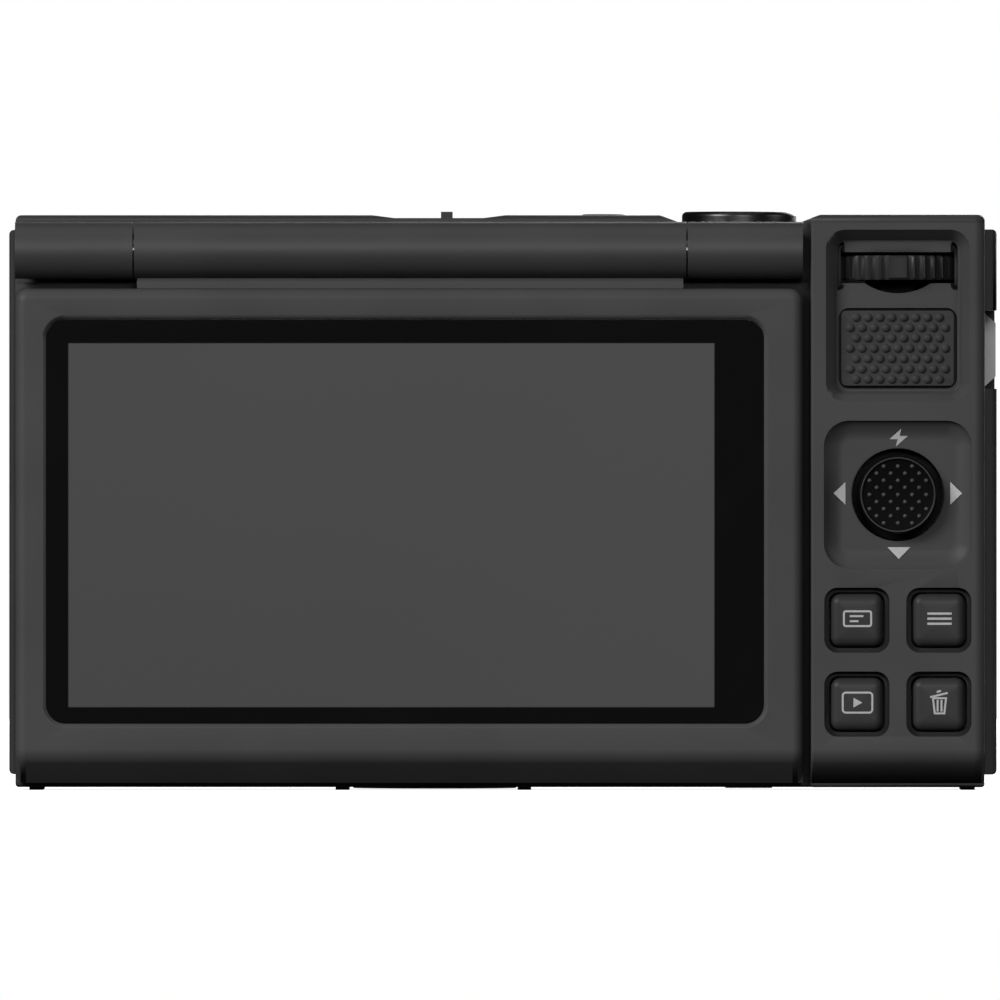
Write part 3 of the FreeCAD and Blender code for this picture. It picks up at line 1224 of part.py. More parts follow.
def front_details():
    """Flash window, reflector, capacitor, focus lamp and zoom motor."""
    window = new_body("flash_window")
    outline = rounded("flash_x - flash_width / 2", "flash_x + flash_width / 2",
                      "flash_z - flash_tall / 2", "flash_z + flash_tall / 2", "edge_round")
    extrude(window, "plate", "y", "inside_front", "front_plane", outline)
    shell = block("reflector_shell", ("flash_x - flash_width / 2", "flash_x + flash_width / 2"),
                  ("inside_front - flash_back", "inside_front"),
                  ("flash_z - flash_tall / 2", "flash_z + flash_tall / 2"))
    hollow = rod("reflector_hollow", "x", ("inside_front", "flash_z"), "flash_tall / 2 - socket_wall",
                 "flash_x - flash_width / 2 + socket_wall", "flash_x + flash_width / 2 - socket_wall")
    without("flash_reflector", shell, hollow)
    rod("focus_lamp", "y", ("lamp_x", "flash_z"), "lamp_radius", "inside_front - wall", "front_plane")
    beside_sockets = "body_left + socket_depth + capacitor_radius + lip_gap"
    rod("flash_capacitor", "z", (beside_sockets, "0"), "capacitor_radius",
        "board_low", "board_low + capacitor_length")
    motor_x = "lens_x - housing_radius"
    motor_z = "board_low + motor_radius + wall"
    motor_front = "tube_floor + motor_length"
    body = rod("motor_can", "y", (motor_x, motor_z), "motor_radius", "tube_floor", motor_front)
    shaft = rod("motor_shaft", "y", (motor_x, motor_z), "screw_shank", motor_front,
                f"{motor_front} + wall")
    joined("zoom_motor", body, shaft)


# ---- side port ----

def side_port():
    """The hinged cover in the left trim and the two sockets behind it."""
    cover = new_body("port_cover")
    leaf = rectangle("trim_left_face", "body_left",
                     "port_low + trim_left_proud / 2", "port_low + port_tall")
    span = ("port_y - port_deep / 2", "port_y + port_deep / 2")
    extrude(cover, "leaf", "y", *span, leaf)
    roll = circle("trim_left_face + trim_left_proud / 2", "port_low + trim_left_proud / 2",
                  "trim_left_proud / 2")
    extrude(cover, "roll", "y", *span, roll)
    ease(cover, "Fillet", "outer_edges", "trim_left_proud / 3", x=("trim_left_face", "trim_left_face"),
         z=("port_low + port_tall", "port_low + port_tall"))
    shapes = (("usb", "usb_wide", "usb_tall", 0.5), ("hdmi", "hdmi_wide", "hdmi_tall", -0.5))
    sockets = []
    for name, wide, tall, side in shapes:
        middle = f"port_middle + {side} * socket_step"
        shell = block(f"{name}_shell", ("body_left", "body_left + socket_depth"),
                      (f"port_y - {wide} / 2", f"port_y + {wide} / 2"),
                      (f"{middle} - {tall} / 2", f"{middle} + {tall} / 2"))
        hollow = block(f"{name}_hollow", ("body_left", "body_left + socket_depth - socket_wall"),
                       (f"port_y - {wide} / 2 + socket_wall", f"port_y + {wide} / 2 - socket_wall"),
                       (f"{middle} - {tall} / 2 + socket_wall", f"{middle} + {tall} / 2 - socket_wall"))
        tongue = block(f"{name}_tongue", ("body_left + socket_wall", "body_left + socket_depth"),
                       ("port_y - socket_wall / 2", "port_y + socket_wall / 2"),
                       (f"{middle} - {tall} / 4", f"{middle} + {tall} / 4"))
        sockets.append(joined(f"{name}_socket", without(f"{name}_cup", shell, hollow), tongue))
    joined("port_sockets", *sockets)


def socket_windows(body):
    """Holes in the left wall that the sockets sit in."""
    windows = [
        rectangle(f"port_y - {wide} / 2", f"port_y + {wide} / 2",
                  f"port_middle + {side} * socket_step - {tall} / 2",
                  f"port_middle + {side} * socket_step + {tall} / 2")
        for wide, tall, side in (("usb_wide", "usb_tall", 0.5), ("hdmi_wide", "hdmi_tall", -0.5))
    ]
    carve(body, "socket_windows", "x", "body_left", "inside_left", *windows)


# ---- underside ----

def tripod_socket():
    """A flanged metal insert with a blind quarter-inch thread."""
    body = new_body("tripod_socket")
    low = "base_low - boss_height"
    place = ("lens_x", "tripod_y")
    extrude(body, "flange", "z", low, "base_low + socket_flange_depth", circle(*place, "socket_flange"))
    extrude(body, "barrel", "z", "base_low + socket_flange_depth", f"{low} + socket_length",
            circle(*place, "socket_radius"))
    carve(body, "thread", "z", low, f"{low} + thread_depth", circle(*place, "thread_radius"))


def feet():
    """Four rubber rails under the base plate."""
    rails = [
        block(f"rail_{name}", (f"{name} - foot_width / 2", f"{name} + foot_width / 2"),
              ("inside_middle - foot_length / 2", "inside_middle + foot_length / 2"), ("0", "foot_drop"))
        for name in ("foot_a", "foot_b", "foot_c", "foot_d")
    ]
    joined("feet", *rails)


def battery_door():
    """The door with a round hinge edge, its pin, and the latch that slides in it."""
    door = new_body("battery_door")
    extrude(door, "leaf", "z", "base_low", "base_low + door_thickness",
            rectangle("door_left", "door_right", "door_front", "door_back"))
    roll = circle("door_left", "door_z", "door_thickness / 2")
    extrude(door, "roll", "y", "door_front", "door_back", roll)
    carve(door, "pin_hole", "y", "door_front", "door_back",
          circle("door_left", "door_z", "door_pin + running_gap"))
    sink = rectangle("latch_x - lip_gap", "latch_x + latch_length + latch_travel + lip_gap",
                     "inside_middle - latch_width / 2 - lip_gap",
                     "inside_middle + latch_width / 2 + lip_gap")
    carve(door, "latch_seat", "z", "base_low", "base_low + latch_sink", sink)
    rod("door_pin", "y", ("door_left", "door_z"), "door_pin", "door_front - door_gap - pin_grip",
        "door_back + door_gap + pin_grip")
    latch = new_body("door_latch")
    extrude(latch, "thumb_piece", "z", "base_low - latch_proud", "base_low + latch_sink - running_gap",
            rectangle("latch_x", "latch_x + latch_length", "inside_middle - latch_width / 2",
                      "inside_middle + latch_width / 2"))


def power_parts():
    """Battery, memory card, and the carrier that holds the contacts of both."""
    across = ("battery_left", "battery_left + battery_width")
    deep = ("battery_front", "battery_back")
    block("battery", across, deep, ("battery_low", "battery_top"))
    card_x = ("battery_left + card_wall", "battery_left + card_wall + card_width")
    card_y = ("battery_front - card_wall - card_thickness - running_gap",
              "battery_front - card_wall - running_gap")
    low = "battery_low + wall"
    block("memory_card", card_x, card_y, (low, f"{low} + card_height"))
    rear = f"{card_y[0]} - card_wall"
    contact_low = "battery_top + running_gap"
    shell = block("card_shell", ("battery_left", f"{card_x[1]} + card_wall"),
                  (rear, f"{card_y[1]} + card_wall / 2"),
                  (f"{low} + wall", f"{low} + card_height + card_wall"))
    hollow = block("card_hollow", card_x, card_y, (f"{low} + wall", f"{low} + card_height"))
    back = block("carrier_back", across, (rear, card_y[0]), (f"{low} + wall", contact_low))
    contacts = block("battery_contacts", across, (rear, deep[1]),
                     (contact_low, f"{contact_low} + contact_height"))
    joined("battery_carrier", without("card_cup", shell, hollow), back, contacts)


def main_board():
    """The main circuit board behind the lens, with its processor."""
    board = block("main_board_plate", ("inside_left + wall", "block_left - wall"),
                  ("board_front - board_depth", "board_front"), ("board_low", "wheel_z - wheel_reach"))
    chip = block("processor", ("inside_left + 5 * wall", "inside_left + 5 * wall + sensor_width"),
                 ("board_front", "board_front + board_depth"),
                 ("lens_z - sensor_height", "lens_z"))
    joined("main_board", board, chip)


def frame_and_screws():
    """The metal floor frame around the tripod insert and the screws through it."""
    plate = block("frame_floor", ("inside_left + lip_gap", "door_left - wall"),
                  ("inside_rear + lip_gap", "inside_front - lip_gap"),
                  ("lip_high", "lip_high + frame_thickness"))
    hole = rod("frame_hole", "z", ("lens_x", "tripod_y"), "socket_radius + running_gap", "lip_high",
               "lip_high + frame_thickness")
    taps = [
        rod(f"frame_tap_{index}", "z", place, "screw_shank", "lip_high", "lip_high + frame_thickness")
        for index, place in enumerate(screw_places())
    ]
    without("floor_frame", plate, hole, *taps)
    screws = []
    for index, place in enumerate(screw_places()):
        screws.append(rod(f"screw_head_{index}", "z", place, "screw_head", "base_low",
                          "base_low + screw_sink"))
        screws.append(rod(f"screw_shank_{index}", "z", place, "screw_shank", "base_low + screw_sink",
                          "lip_high + frame_thickness"))
    joined("case_screws", *screws)


# ---- building, checking and writing ----

NODES = (
    "front_shell", "rear_shell", "top_cover", "base_plate", "side_trim_left", "side_trim_right",
    "strap_lug", "hinge_knuckle_left", "hinge_knuckle_right", "hinge_pins", "hinge_barrel",
    "screen_bezel", "screen_back_cover", "screen_glass", "display_cell",
    "thumb_pad", "thumb_wheel", "wheel_bracket",
    "stick_cradle", "stick_outer_ring", "stick_inner_ring", "stick_cap", *KEYS, "key_board",
    "shutter_button", "power_button", "mode_slider", "top_board", "microphones",
    "lens_ring", "lens_housing", "rear_lens", "image_sensor", "zoom_barrel_outer",
    "zoom_barrel_inner", "lens_front_ring", "front_lens", "lens_door_upper", "lens_door_lower",
    "flash_window", "flash_reflector", "focus_lamp", "flash_capacitor", "zoom_motor",
    "port_cover", "port_sockets", "tripod_socket", "feet", "battery_door", "door_pin",
    "door_latch", "battery", "battery_carrier", "memory_card", "main_board",
    "floor_frame", "case_screws",
)


def check(things):
    """Stops if a feature failed, a cut removed nothing, or a sub-part isn't a sound solid."""
    for item in things:
        if "Invalid" in item.State or "Error" in item.State:
            raise ValueError(f"{item.Name} failed: {item.State}")
        if item.TypeId == "PartDesign::Pocket":
            before = item.getBaseObject(True).Shape.Volume
            if item.Shape.Volume > before - SLOP:
                raise ValueError(f"{item.Name} removes nothing")
    for name in NODES:
        shape = doc.getObject(name).Shape
        if shape.isNull() or not shape.isValid() or not shape.Solids:
            raise ValueError(f"{name} isn't a sound solid")


def main():
    socket_windows(front_shell())
    rear_shell()
    top_cover()
    base_plate()
    side_trim_left()
    side_trim_right()
    strap_lug()
    knuckles_and_pins()
    hinge_barrel()
    screen_bezel()
    screen_back_cover()
    screen_layers()
    thumb_pad()
    thumb_wheel()
    joystick()
    keys()
    key_board()
    top_controls()
    fixed_lens_parts()
    zoom_barrels()
    lens_doors()
    front_details()
    side_port()
    tripod_socket()
    feet()
    battery_door()
    power_parts()
    main_board()
    frame_and_screws()
    doc.recompute()
    check(doc.Objects)
    os.makedirs("parts", exist_ok=True)
    for name in NODES:
        doc.getObject(name).Shape.exportStep(f"parts/{name}.step")


main()
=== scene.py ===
import json
import math

import bmesh
import bpy
import numpy as np
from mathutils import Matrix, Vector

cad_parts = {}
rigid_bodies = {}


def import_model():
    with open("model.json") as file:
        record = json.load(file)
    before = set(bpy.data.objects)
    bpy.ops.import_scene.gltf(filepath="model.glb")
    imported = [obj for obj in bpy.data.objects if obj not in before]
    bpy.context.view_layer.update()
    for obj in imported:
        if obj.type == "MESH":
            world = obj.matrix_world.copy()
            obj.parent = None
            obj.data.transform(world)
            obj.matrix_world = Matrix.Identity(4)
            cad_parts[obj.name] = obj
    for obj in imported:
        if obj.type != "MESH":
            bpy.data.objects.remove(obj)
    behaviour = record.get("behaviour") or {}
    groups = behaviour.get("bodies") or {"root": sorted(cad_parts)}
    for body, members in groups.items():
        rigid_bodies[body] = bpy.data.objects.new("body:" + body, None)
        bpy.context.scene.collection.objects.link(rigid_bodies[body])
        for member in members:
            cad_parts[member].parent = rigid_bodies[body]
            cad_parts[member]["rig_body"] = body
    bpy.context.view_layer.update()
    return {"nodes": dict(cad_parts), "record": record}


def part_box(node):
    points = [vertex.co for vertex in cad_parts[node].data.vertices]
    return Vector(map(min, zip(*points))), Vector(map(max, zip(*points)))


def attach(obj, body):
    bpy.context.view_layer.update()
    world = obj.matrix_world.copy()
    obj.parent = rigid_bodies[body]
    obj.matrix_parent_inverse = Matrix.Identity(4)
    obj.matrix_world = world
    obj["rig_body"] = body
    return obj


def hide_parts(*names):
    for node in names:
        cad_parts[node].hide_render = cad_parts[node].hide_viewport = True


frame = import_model()

bl_info = {
    "name": "Flip-screen camera looks",
    "version": (1, 0, 0),
    "blender": (4, 5, 0),
    "location": "View3D > Sidebar > Camera",
    "description": "Surfaces and finishes of a compact flip-screen camera around its packed frame",
    "category": "Object",
}

MM = 0.001
ARC_POINTS = 8                      # points on each quarter arc of a soft corner
SIGN_ROOT = 0.07                    # how far a key's sign reaches into the key, mm
LIT_MARGIN_LOW = (2.30, 0, 1.72)    # from the glass's low corner to the lit area's, mm
LIT_MARGIN_HIGH = (5.11, 0, 2.53)   # from the lit area's high corner to the glass's, mm
LIGHT_AIM = (0.0, 0.0, 0.03)        # the point that every lamp faces, metres
LIGHTS = (                          # name, place, width and height in metres, power in watts
    ("key", (-0.93, -0.94, 0.64), 0.6, 0.5, 13.2),
    ("front", (0.18, -1.45, 0.40), 0.6, 0.25, 4.4),
    ("overhead", (0.0, -0.1, 1.1), 1.0, 0.8, 1.4),
    ("lens_side", (0.45, 1.35, 0.45), 0.8, 0.6, 12),
    ("right", (1.35, -0.25, 0.4), 0.5, 0.5, 1.6),
)
VIEW_WIDTH = 0.1028                 # what the camera sees across, at the rear shell, metres
VIEW_CENTRE = (-0.00026, 0.02986)   # x and z of the camera, metres


# ---- sizes and colours that a user would change ----

class CameraSizes(bpy.types.PropertyGroup):
    """Sizes of the moulded details, in millimetres where no unit is named."""
    key_width: bpy.props.FloatProperty(
        name="Key width", description="Side of a square key cap, mm", default=5.45, min=3.0, max=6.2)
    key_edge: bpy.props.FloatProperty(
        name="Key edge", description="Radius of the soft edge of a key, mm", default=0.9, min=0.1, max=1.5)
    key_crown: bpy.props.FloatProperty(
        name="Key crown", description="How far the middle of a key stands over its edge, mm",
        default=0.05, min=0.0, max=0.3)
    bump_radius: bpy.props.FloatProperty(
        name="Bump radius", description="Radius of a bump on the thumb pad, mm",
        default=0.46, min=0.1, max=0.6)
    bump_height: bpy.props.FloatProperty(
        name="Bump height", description="Height of a bump on the thumb pad, mm",
        default=0.3, min=0.05, max=0.4)
    pad_groove: bpy.props.FloatProperty(
        name="Pad groove", description="Gap round the thumb pad, mm", default=0.26, min=0.0, max=0.4)
    rib_count: bpy.props.IntProperty(
        name="Wheel ribs", description="Number of ribs on the thumb wheel", default=34, min=12, max=60)
    rib_depth: bpy.props.FloatProperty(
        name="Rib depth", description="Depth of the grooves between the ribs, mm",
        default=0.34, min=0.05, max=0.6)
    legend_proud: bpy.props.FloatProperty(
        name="Legend height", description="How far a printed sign stands over its surface, mm",
        default=0.012, min=0.005, max=0.05)


class CameraColours(bpy.types.PropertyGroup):
    """Base colours of the finishes."""
    case: bpy.props.FloatVectorProperty(
        name="Case", description="Moulded case and screen frame", subtype="COLOR", size=3,
        default=(0.074, 0.074, 0.075), min=0.0, max=1.0)
    cover: bpy.props.FloatVectorProperty(
        name="Covers", description="Top cover and base plate", subtype="COLOR", size=3,
        default=(0.050, 0.050, 0.051), min=0.0, max=1.0)
    control: bpy.props.FloatVectorProperty(
        name="Controls", description="Keys, stick and wheel", subtype="COLOR", size=3,
        default=(0.045, 0.045, 0.046), min=0.0, max=1.0)
    rubber: bpy.props.FloatVectorProperty(
        name="Rubber", description="Thumb pad and feet", subtype="COLOR", size=3,
        default=(0.045, 0.045, 0.046), min=0.0, max=1.0)
    display: bpy.props.FloatVectorProperty(
        name="Display", description="Lit area of the screen, switched off", subtype="COLOR", size=3,
        default=(0.080, 0.080, 0.081), min=0.0, max=1.0)
    legend: bpy.props.FloatVectorProperty(
        name="Legends", description="Printed signs", subtype="COLOR", size=3,
        default=(0.62, 0.62, 0.62), min=0.0, max=1.0)


def sizes():
    """The sizes of this scene."""
    return bpy.context.scene.camera_sizes


# ---- shader maths ----

class Field:
    """A number that varies over a surface. Arithmetic on it adds Math nodes."""

    def __init__(self, finish, socket):
        self.finish = finish
        self.socket = socket

    def _math(self, operation, *values):
        node = self.finish.node("ShaderNodeMath", {"operation": operation}, dict(enumerate(values)))
        return Field(self.finish, node.outputs[0])

    def __add__(self, other):
        return self._math("ADD", self, other)

    __radd__ = __add__

    def __sub__(self, other):
        return self._math("SUBTRACT", self, other)

    def __rsub__(self, other):
        return self._math("SUBTRACT", other, self)

    def __mul__(self, other):
        return self._math("MULTIPLY", self, other)

    __rmul__ = __mul__

    def __pow__(self, other):
        return self._math("POWER", self, other)

    def sine(self):
        return self._math("SINE", self)

    def least(self, other):
        return self._math("MINIMUM", self, other)

    def step(self, low, high):
        """0 below low, 1 above high, and a soft rise between them."""
        node = self.finish.node("ShaderNodeMapRange", {"interpolation_type": "SMOOTHSTEP"},
                                {"Value": self, "From Min": low, "From Max": high})
        return Field(self.finish, node.outputs[0])


class Finish:
    """One material and the nodes that make it."""

    def __init__(self, name):
        self.material = bpy.data.materials.new(name)
        self.material.use_nodes = True
        self.tree = self.material.node_tree
        self.shader = self.tree.nodes["Principled BSDF"]
        self.place = self.node("ShaderNodeTexCoord").outputs["Object"]

    def node(self, kind, settings=None, sockets=None):
        """A node of a kind, with its settings made first and its sockets given values or links."""
        node = self.tree.nodes.new(kind)
        for key, setting in (settings or {}).items():
            setattr(node, key, setting)
        for key, value in (sockets or {}).items():
            self.feed(node.inputs[key], value)
        return node

    def feed(self, socket, value):
        """Links a field or a socket to a socket, or sets a plain value on it."""
        if isinstance(value, Field):
            value = value.socket
        if isinstance(value, bpy.types.NodeSocket):
            self.tree.links.new(value, socket)
        else:
            socket.default_value = value

    def set(self, **values):
        """Shader sockets by name, with _ for a space."""
        for key, value in values.items():
            self.feed(self.shader.inputs[key.replace("_", " ")], value)

    def noise(self, size, detail=2.0, stretch=(1, 1, 1)):
        """Clouds about size metres across, about 0.5 in the mean."""
        place = self.node("ShaderNodeMapping", None, {"Vector": self.place, "Scale": stretch}).outputs[0]
        node = self.node("ShaderNodeTexNoise", None,
                         {"Vector": place, "Scale": 1 / size, "Detail": detail})
        return Field(self, node.outputs[0])

    def axes(self):
        """The place along x, y and z, in metres."""
        node = self.node("ShaderNodeSeparateXYZ", None, {0: self.place})
        return [Field(self, socket) for socket in node.outputs]

    def blend(self, mask, first, second):
        """first where the mask is 0, second where it is 1; both are colours."""
        pair = [(*colour, 1.0) if isinstance(colour, tuple) else colour for colour in (first, second)]
        node = self.node("ShaderNodeMix", {"data_type": "RGBA"}, {0: mask, 6: pair[0], 7: pair[1]})
        return node.outputs[2]

    def rounded_edges(self, radius):
        """The surface's normal, as if each sharp edge had this radius."""
        return self.node("ShaderNodeBevel", {"samples": 4}, {"Radius": radius}).outputs[0]

    def edge_wear_and_highlight(self, radius):
        """1 near a sharp edge and 0 elsewhere, from how far a rounded normal leans from the true one."""
        true = self.node("ShaderNodeNewGeometry").outputs["True Normal"]
        lean = self.node("ShaderNodeVectorMath", {"operation": "DOT_PRODUCT"},
                         {0: self.rounded_edges(radius), 1: true}).outputs["Value"]
        return (1 - Field(self, lean)).step(0.02, 0.3)

    def openness(self, reach):
        """1 on an open surface, down to 0 deep in a hollow narrower than reach."""
        node = self.node("ShaderNodeAmbientOcclusion", {"samples": 6}, {"Distance": reach})
        return Field(self, node.outputs["AO"])

    def relief(self, height, depth, radius=0.0):
        """A bump of a height from 0 to 1, depth metres deep, over rounded edges."""
        links = {"Height": height, "Distance": depth, "Strength": 1.0}
        if radius:
            links["Normal"] = self.rounded_edges(radius)
        self.set(Normal=self.node("ShaderNodeBump", None, links).outputs[0])


def shade(colour, factor):
    """A colour made darker or lighter."""
    return tuple(min(1.0, part * factor) for part in colour)


def moulded(name, colour, roughness, grain=0.00022, depth=0.000004, specular=0.22, painted_shade_reach=0.0):
    """Moulded plastic: a fine spark-eroded grain, faint flow marks, and edges smoother and lighter: partly
    wear, partly a painted highlight. With a painted-shade reach in metres, narrow hollows get painted shade
    from ambient occlusion."""
    finish = Finish(name)
    edge = 0.00007
    cloud = finish.noise(0.012, 3.0)
    grit = finish.noise(grain, 2.0)
    smear = finish.noise(0.004, 2.0, (1, 1, 0.35))
    wear_and_highlight = finish.edge_wear_and_highlight(edge * 1.6)
    base = finish.blend(cloud.step(0.3, 0.7), shade(colour, 0.94), shade(colour, 1.06))
    # painted shade: narrow hollows are darkened from ambient occlusion, down to 0.12 of the colour
    if painted_shade_reach:
        base = finish.blend(finish.openness(painted_shade_reach).step(0.5, 0.95), shade(colour, 0.12), base)
    # edges lighter in colour: partly wear, partly a painted highlight
    finish.set(Base_Color=finish.blend(wear_and_highlight * 0.5, base, shade(colour, 1.25)),
               Roughness=(cloud - 0.5) * 0.08 + (smear - 0.5) * 0.06 + (roughness - wear_and_highlight * 0.08),
               Specular_IOR_Level=specular)
    finish.relief(grit, depth, edge)
    return finish.material


def soft_rubber(name, colour):
    """Rubber: matt, slightly dusty, with a felt-like micro texture."""
    finish = Finish(name)
    dust = finish.noise(0.0025, 4.0)
    grit = finish.noise(0.00016, 3.0)
    wear_and_highlight = finish.edge_wear_and_highlight(0.00012)
    base = finish.blend(dust.step(0.35, 0.75), colour, shade(colour, 1.18))
    # edges lighter in colour: partly wear, partly a painted highlight
    finish.set(Base_Color=finish.blend(wear_and_highlight * 0.6, base, shade(colour, 1.4)),
               Roughness=0.68 + (dust - 0.5) * 0.1, Specular_IOR_Level=0.35)
    finish.relief(grit, 0.000006, 0.00008)
    return finish.material


def spun_metal(name, colour, roughness, centre, along, pitch=0.00016):
    """Metal turned on a lathe: fine rings about an axis through centre, with streaks along them."""
    finish = Finish(name)
    places = finish.axes()
    across = [axis for axis in range(3) if axis != along]
    square = sum((places[axis] - float(centre[axis])) ** 2 for axis in across)
    rings = ((square ** 0.5) * (math.tau / pitch)).sine() * 0.5 + 0.5
    streak = finish.noise(0.0006, 2.0)
    wear_and_highlight = finish.edge_wear_and_highlight(0.00012)
    base = finish.blend(streak.step(0.3, 0.7), shade(colour, 0.92), shade(colour, 1.08))
    # edges lighter in colour: partly wear, partly a painted highlight
    finish.set(Base_Color=finish.blend(wear_and_highlight * 0.5, base, shade(colour, 1.7)),
               Roughness=(streak - 0.5) * 0.12 + (roughness - wear_and_highlight * 0.06), Metallic=1.0)
    finish.relief(rings, 0.0000025, 0.00009)
    return finish.material


def plain_metal(name, colour, roughness, stretch):
    """Blasted or brushed metal: grain drawn out along one axis, edges polished by use and lighter, partly
    wear and partly a painted highlight.
    """
    finish = Finish(name)
    brush = finish.noise(0.0002, 3.0, stretch)
    cloud = finish.noise(0.003, 2.0)
    wear_and_highlight = finish.edge_wear_and_highlight(0.00012)
    base = finish.blend(cloud.step(0.3, 0.7), shade(colour, 0.93), shade(colour, 1.05))
    # edges lighter in colour: partly wear, partly a painted highlight
    finish.set(Base_Color=finish.blend(wear_and_highlight * 0.6, base, shade(colour, 1.25)),
               Roughness=(brush - 0.5) * 0.16 + (roughness - wear_and_highlight * 0.1), Metallic=1.0)
    finish.relief(brush, 0.000003, 0.00008)
    return finish.material


def cover_glass(name, low, high, colour):
    """Cover glass over a black print with a window for the display, which is grey when switched off.
    A faint diagonal band of lighter colour crosses the display, a painted reflection; smudges change the
    gloss."""
    finish = Finish(name)
    x, _, z = finish.axes()
    soft, cell = 0.00008, 0.00022
    inside = (x.step(low[0] - soft, low[0] + soft) * (1 - x.step(high[0] - soft, high[0] + soft))
              * z.step(low[2] - soft, low[2] + soft) * (1 - z.step(high[2] - soft, high[2] + soft)))
    along = (x - float(low[0])) * (1 / float(high[0] - low[0])) + (z - float(low[2])) * 16.0
    # painted reflection: a faint diagonal lightening across the display's grey
    painted_sheen = along.step(0.0, 1.6) * 0.5 + (finish.noise(0.03, 1.0) - 0.5) * 0.35
    cells = (x * (math.tau / cell)).sine() * (z * (math.tau / cell)).sine() * 0.03
    panel = finish.blend((painted_sheen + cells).step(-0.3, 0.9), shade(colour, 0.97), shade(colour, 1.14))
    smudge = finish.noise(0.009, 3.0).step(0.45, 0.8)
    finish.set(Base_Color=finish.blend(inside, (0.0065, 0.0065, 0.007), panel),
               Roughness=inside * 0.32 + 0.09 + smudge * 0.04, Specular_IOR_Level=0.25)
    finish.relief(finish.noise(0.006, 1.0), 0.0000008, 0.00015)
    return finish.material


def lens_glass(name):
    """A coated front lens: dark, clear and glossy, its coating's faint violet and green reflection painted
    into the colour in diagonal bands.
    """
    finish = Finish(name)
    x, _, z = finish.axes()
    # painted reflection: the coating's violet and green tint, in diagonal bands
    painted_sheen = ((x + z) * 140.0).sine() * 0.5 + 0.5
    dust = finish.noise(0.0009, 2.0).step(0.62, 0.75)
    finish.set(Base_Color=finish.blend(painted_sheen, (0.10, 0.05, 0.16), (0.04, 0.11, 0.10)),
               Roughness=0.03 + dust * 0.08, IOR=1.6, Transmission_Weight=0.55,
               Coat_Weight=1.0, Coat_Roughness=0.02)
    finish.relief(finish.noise(0.005, 1.0), 0.0000005)
    return finish.material


def clear_window(name, tint):
    """A clear moulded window, slightly milky, with faint flow lines."""
    finish = Finish(name)
    flow = finish.noise(0.002, 2.0, (1, 1, 3))
    finish.set(Base_Color=finish.blend(flow.step(0.3, 0.7), shade(tint, 0.9), tint),
               Roughness=0.12 + flow * 0.1, IOR=1.49, Coat_Weight=0.6)
    x, _, _ = finish.axes()
    ribs = (x * (math.tau / 0.0005)).sine() * 0.5 + 0.5
    finish.relief(ribs, 0.00003, 0.0001)
    return finish.material


def circuit_board(name):
    """Solder mask over copper runs, with the runs standing slightly proud."""
    finish = Finish(name)
    x, _, z = finish.axes()
    runs = ((x * (math.tau / 0.0011)).sine().step(0.55, 0.75)
            + (z * (math.tau / 0.0013)).sine().step(0.7, 0.85)).least(1.0)
    patch = finish.noise(0.004, 1.0).step(0.48, 0.52)
    copper = runs * patch
    finish.set(Base_Color=finish.blend(copper, (0.012, 0.07, 0.035), (0.05, 0.16, 0.06)),
               Roughness=0.34 + copper * 0.08, Coat_Weight=0.3)
    finish.relief(copper, 0.00003, 0.00006)
    return finish.material


def printed_sign(name, colour):
    """Pad-printed ink: slightly uneven and matt."""
    finish = Finish(name)
    cover = finish.noise(0.0003, 3.0)
    finish.set(Base_Color=finish.blend(cover.step(0.2, 0.6), shade(colour, 0.86), colour),
               Roughness=0.6 + (cover - 0.5) * 0.15)
    finish.relief(cover, 0.000004)
    return finish.material


# ---- meshes ----

def place_of(node):
    """Lowest and highest corner of a frame node, in millimetres."""
    low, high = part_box(node)
    return np.array(low) / MM, np.array(high) / MM


def corners_of(node):
    """Every corner of a frame node's mesh, in millimetres."""
    mesh = frame["nodes"][node].data
    places = np.empty(len(mesh.vertices) * 3)
    mesh.vertices.foreach_get("co", places)
    return places.reshape(-1, 3) / MM


def middle_of(node):
    """Middle of a frame node's box, in millimetres."""
    low, high = place_of(node)
    return (low + high) / 2


def lattice(rows, columns, wrap_rows=False):
    """Corner numbers of the four-sided faces of a grid whose columns close on themselves."""
    r = np.arange(rows if wrap_rows else rows - 1)[:, None]
    c = np.arange(columns)[None, :]
    after, beside = (r + 1) % rows, (c + 1) % columns
    corners = (r * columns + c, r * columns + beside, after * columns + beside, after * columns + c)
    return np.stack(np.broadcast_arrays(*corners), -1).reshape(-1, 4)


def mesh_of(name, points, faces, merge=0.0):
    """A mesh from points in millimetres, its faces turned outwards. Points closer together than merge
    millimetres become one."""
    mesh = bpy.data.meshes.new(name)
    mesh.from_pydata((points * MM).tolist(), [], faces)
    work = bmesh.new()
    work.from_mesh(mesh)
    if merge:
        bmesh.ops.remove_doubles(work, verts=work.verts, dist=merge * MM)
    bmesh.ops.recalc_face_normals(work, faces=work.faces)
    work.to_mesh(mesh)
    work.free()
    return mesh


def piece(name, parts, material, body, stands_for, crease):
    """One finished piece from several (points, faces) surfaces, in millimetres: doubles are merged,
    faces turned outwards, and edges sharper than the crease kept crisp."""
    start, points, faces = 0, [], []
    for some_points, some_faces in parts:
        points.append(some_points.reshape(-1, 3))
        faces.extend((np.asarray(some_faces) + start).tolist())
        start += len(points[-1])
    mesh = mesh_of(name, np.concatenate(points), faces, 0.0008)
    finish_piece(name, mesh, material, body, stands_for, crease)


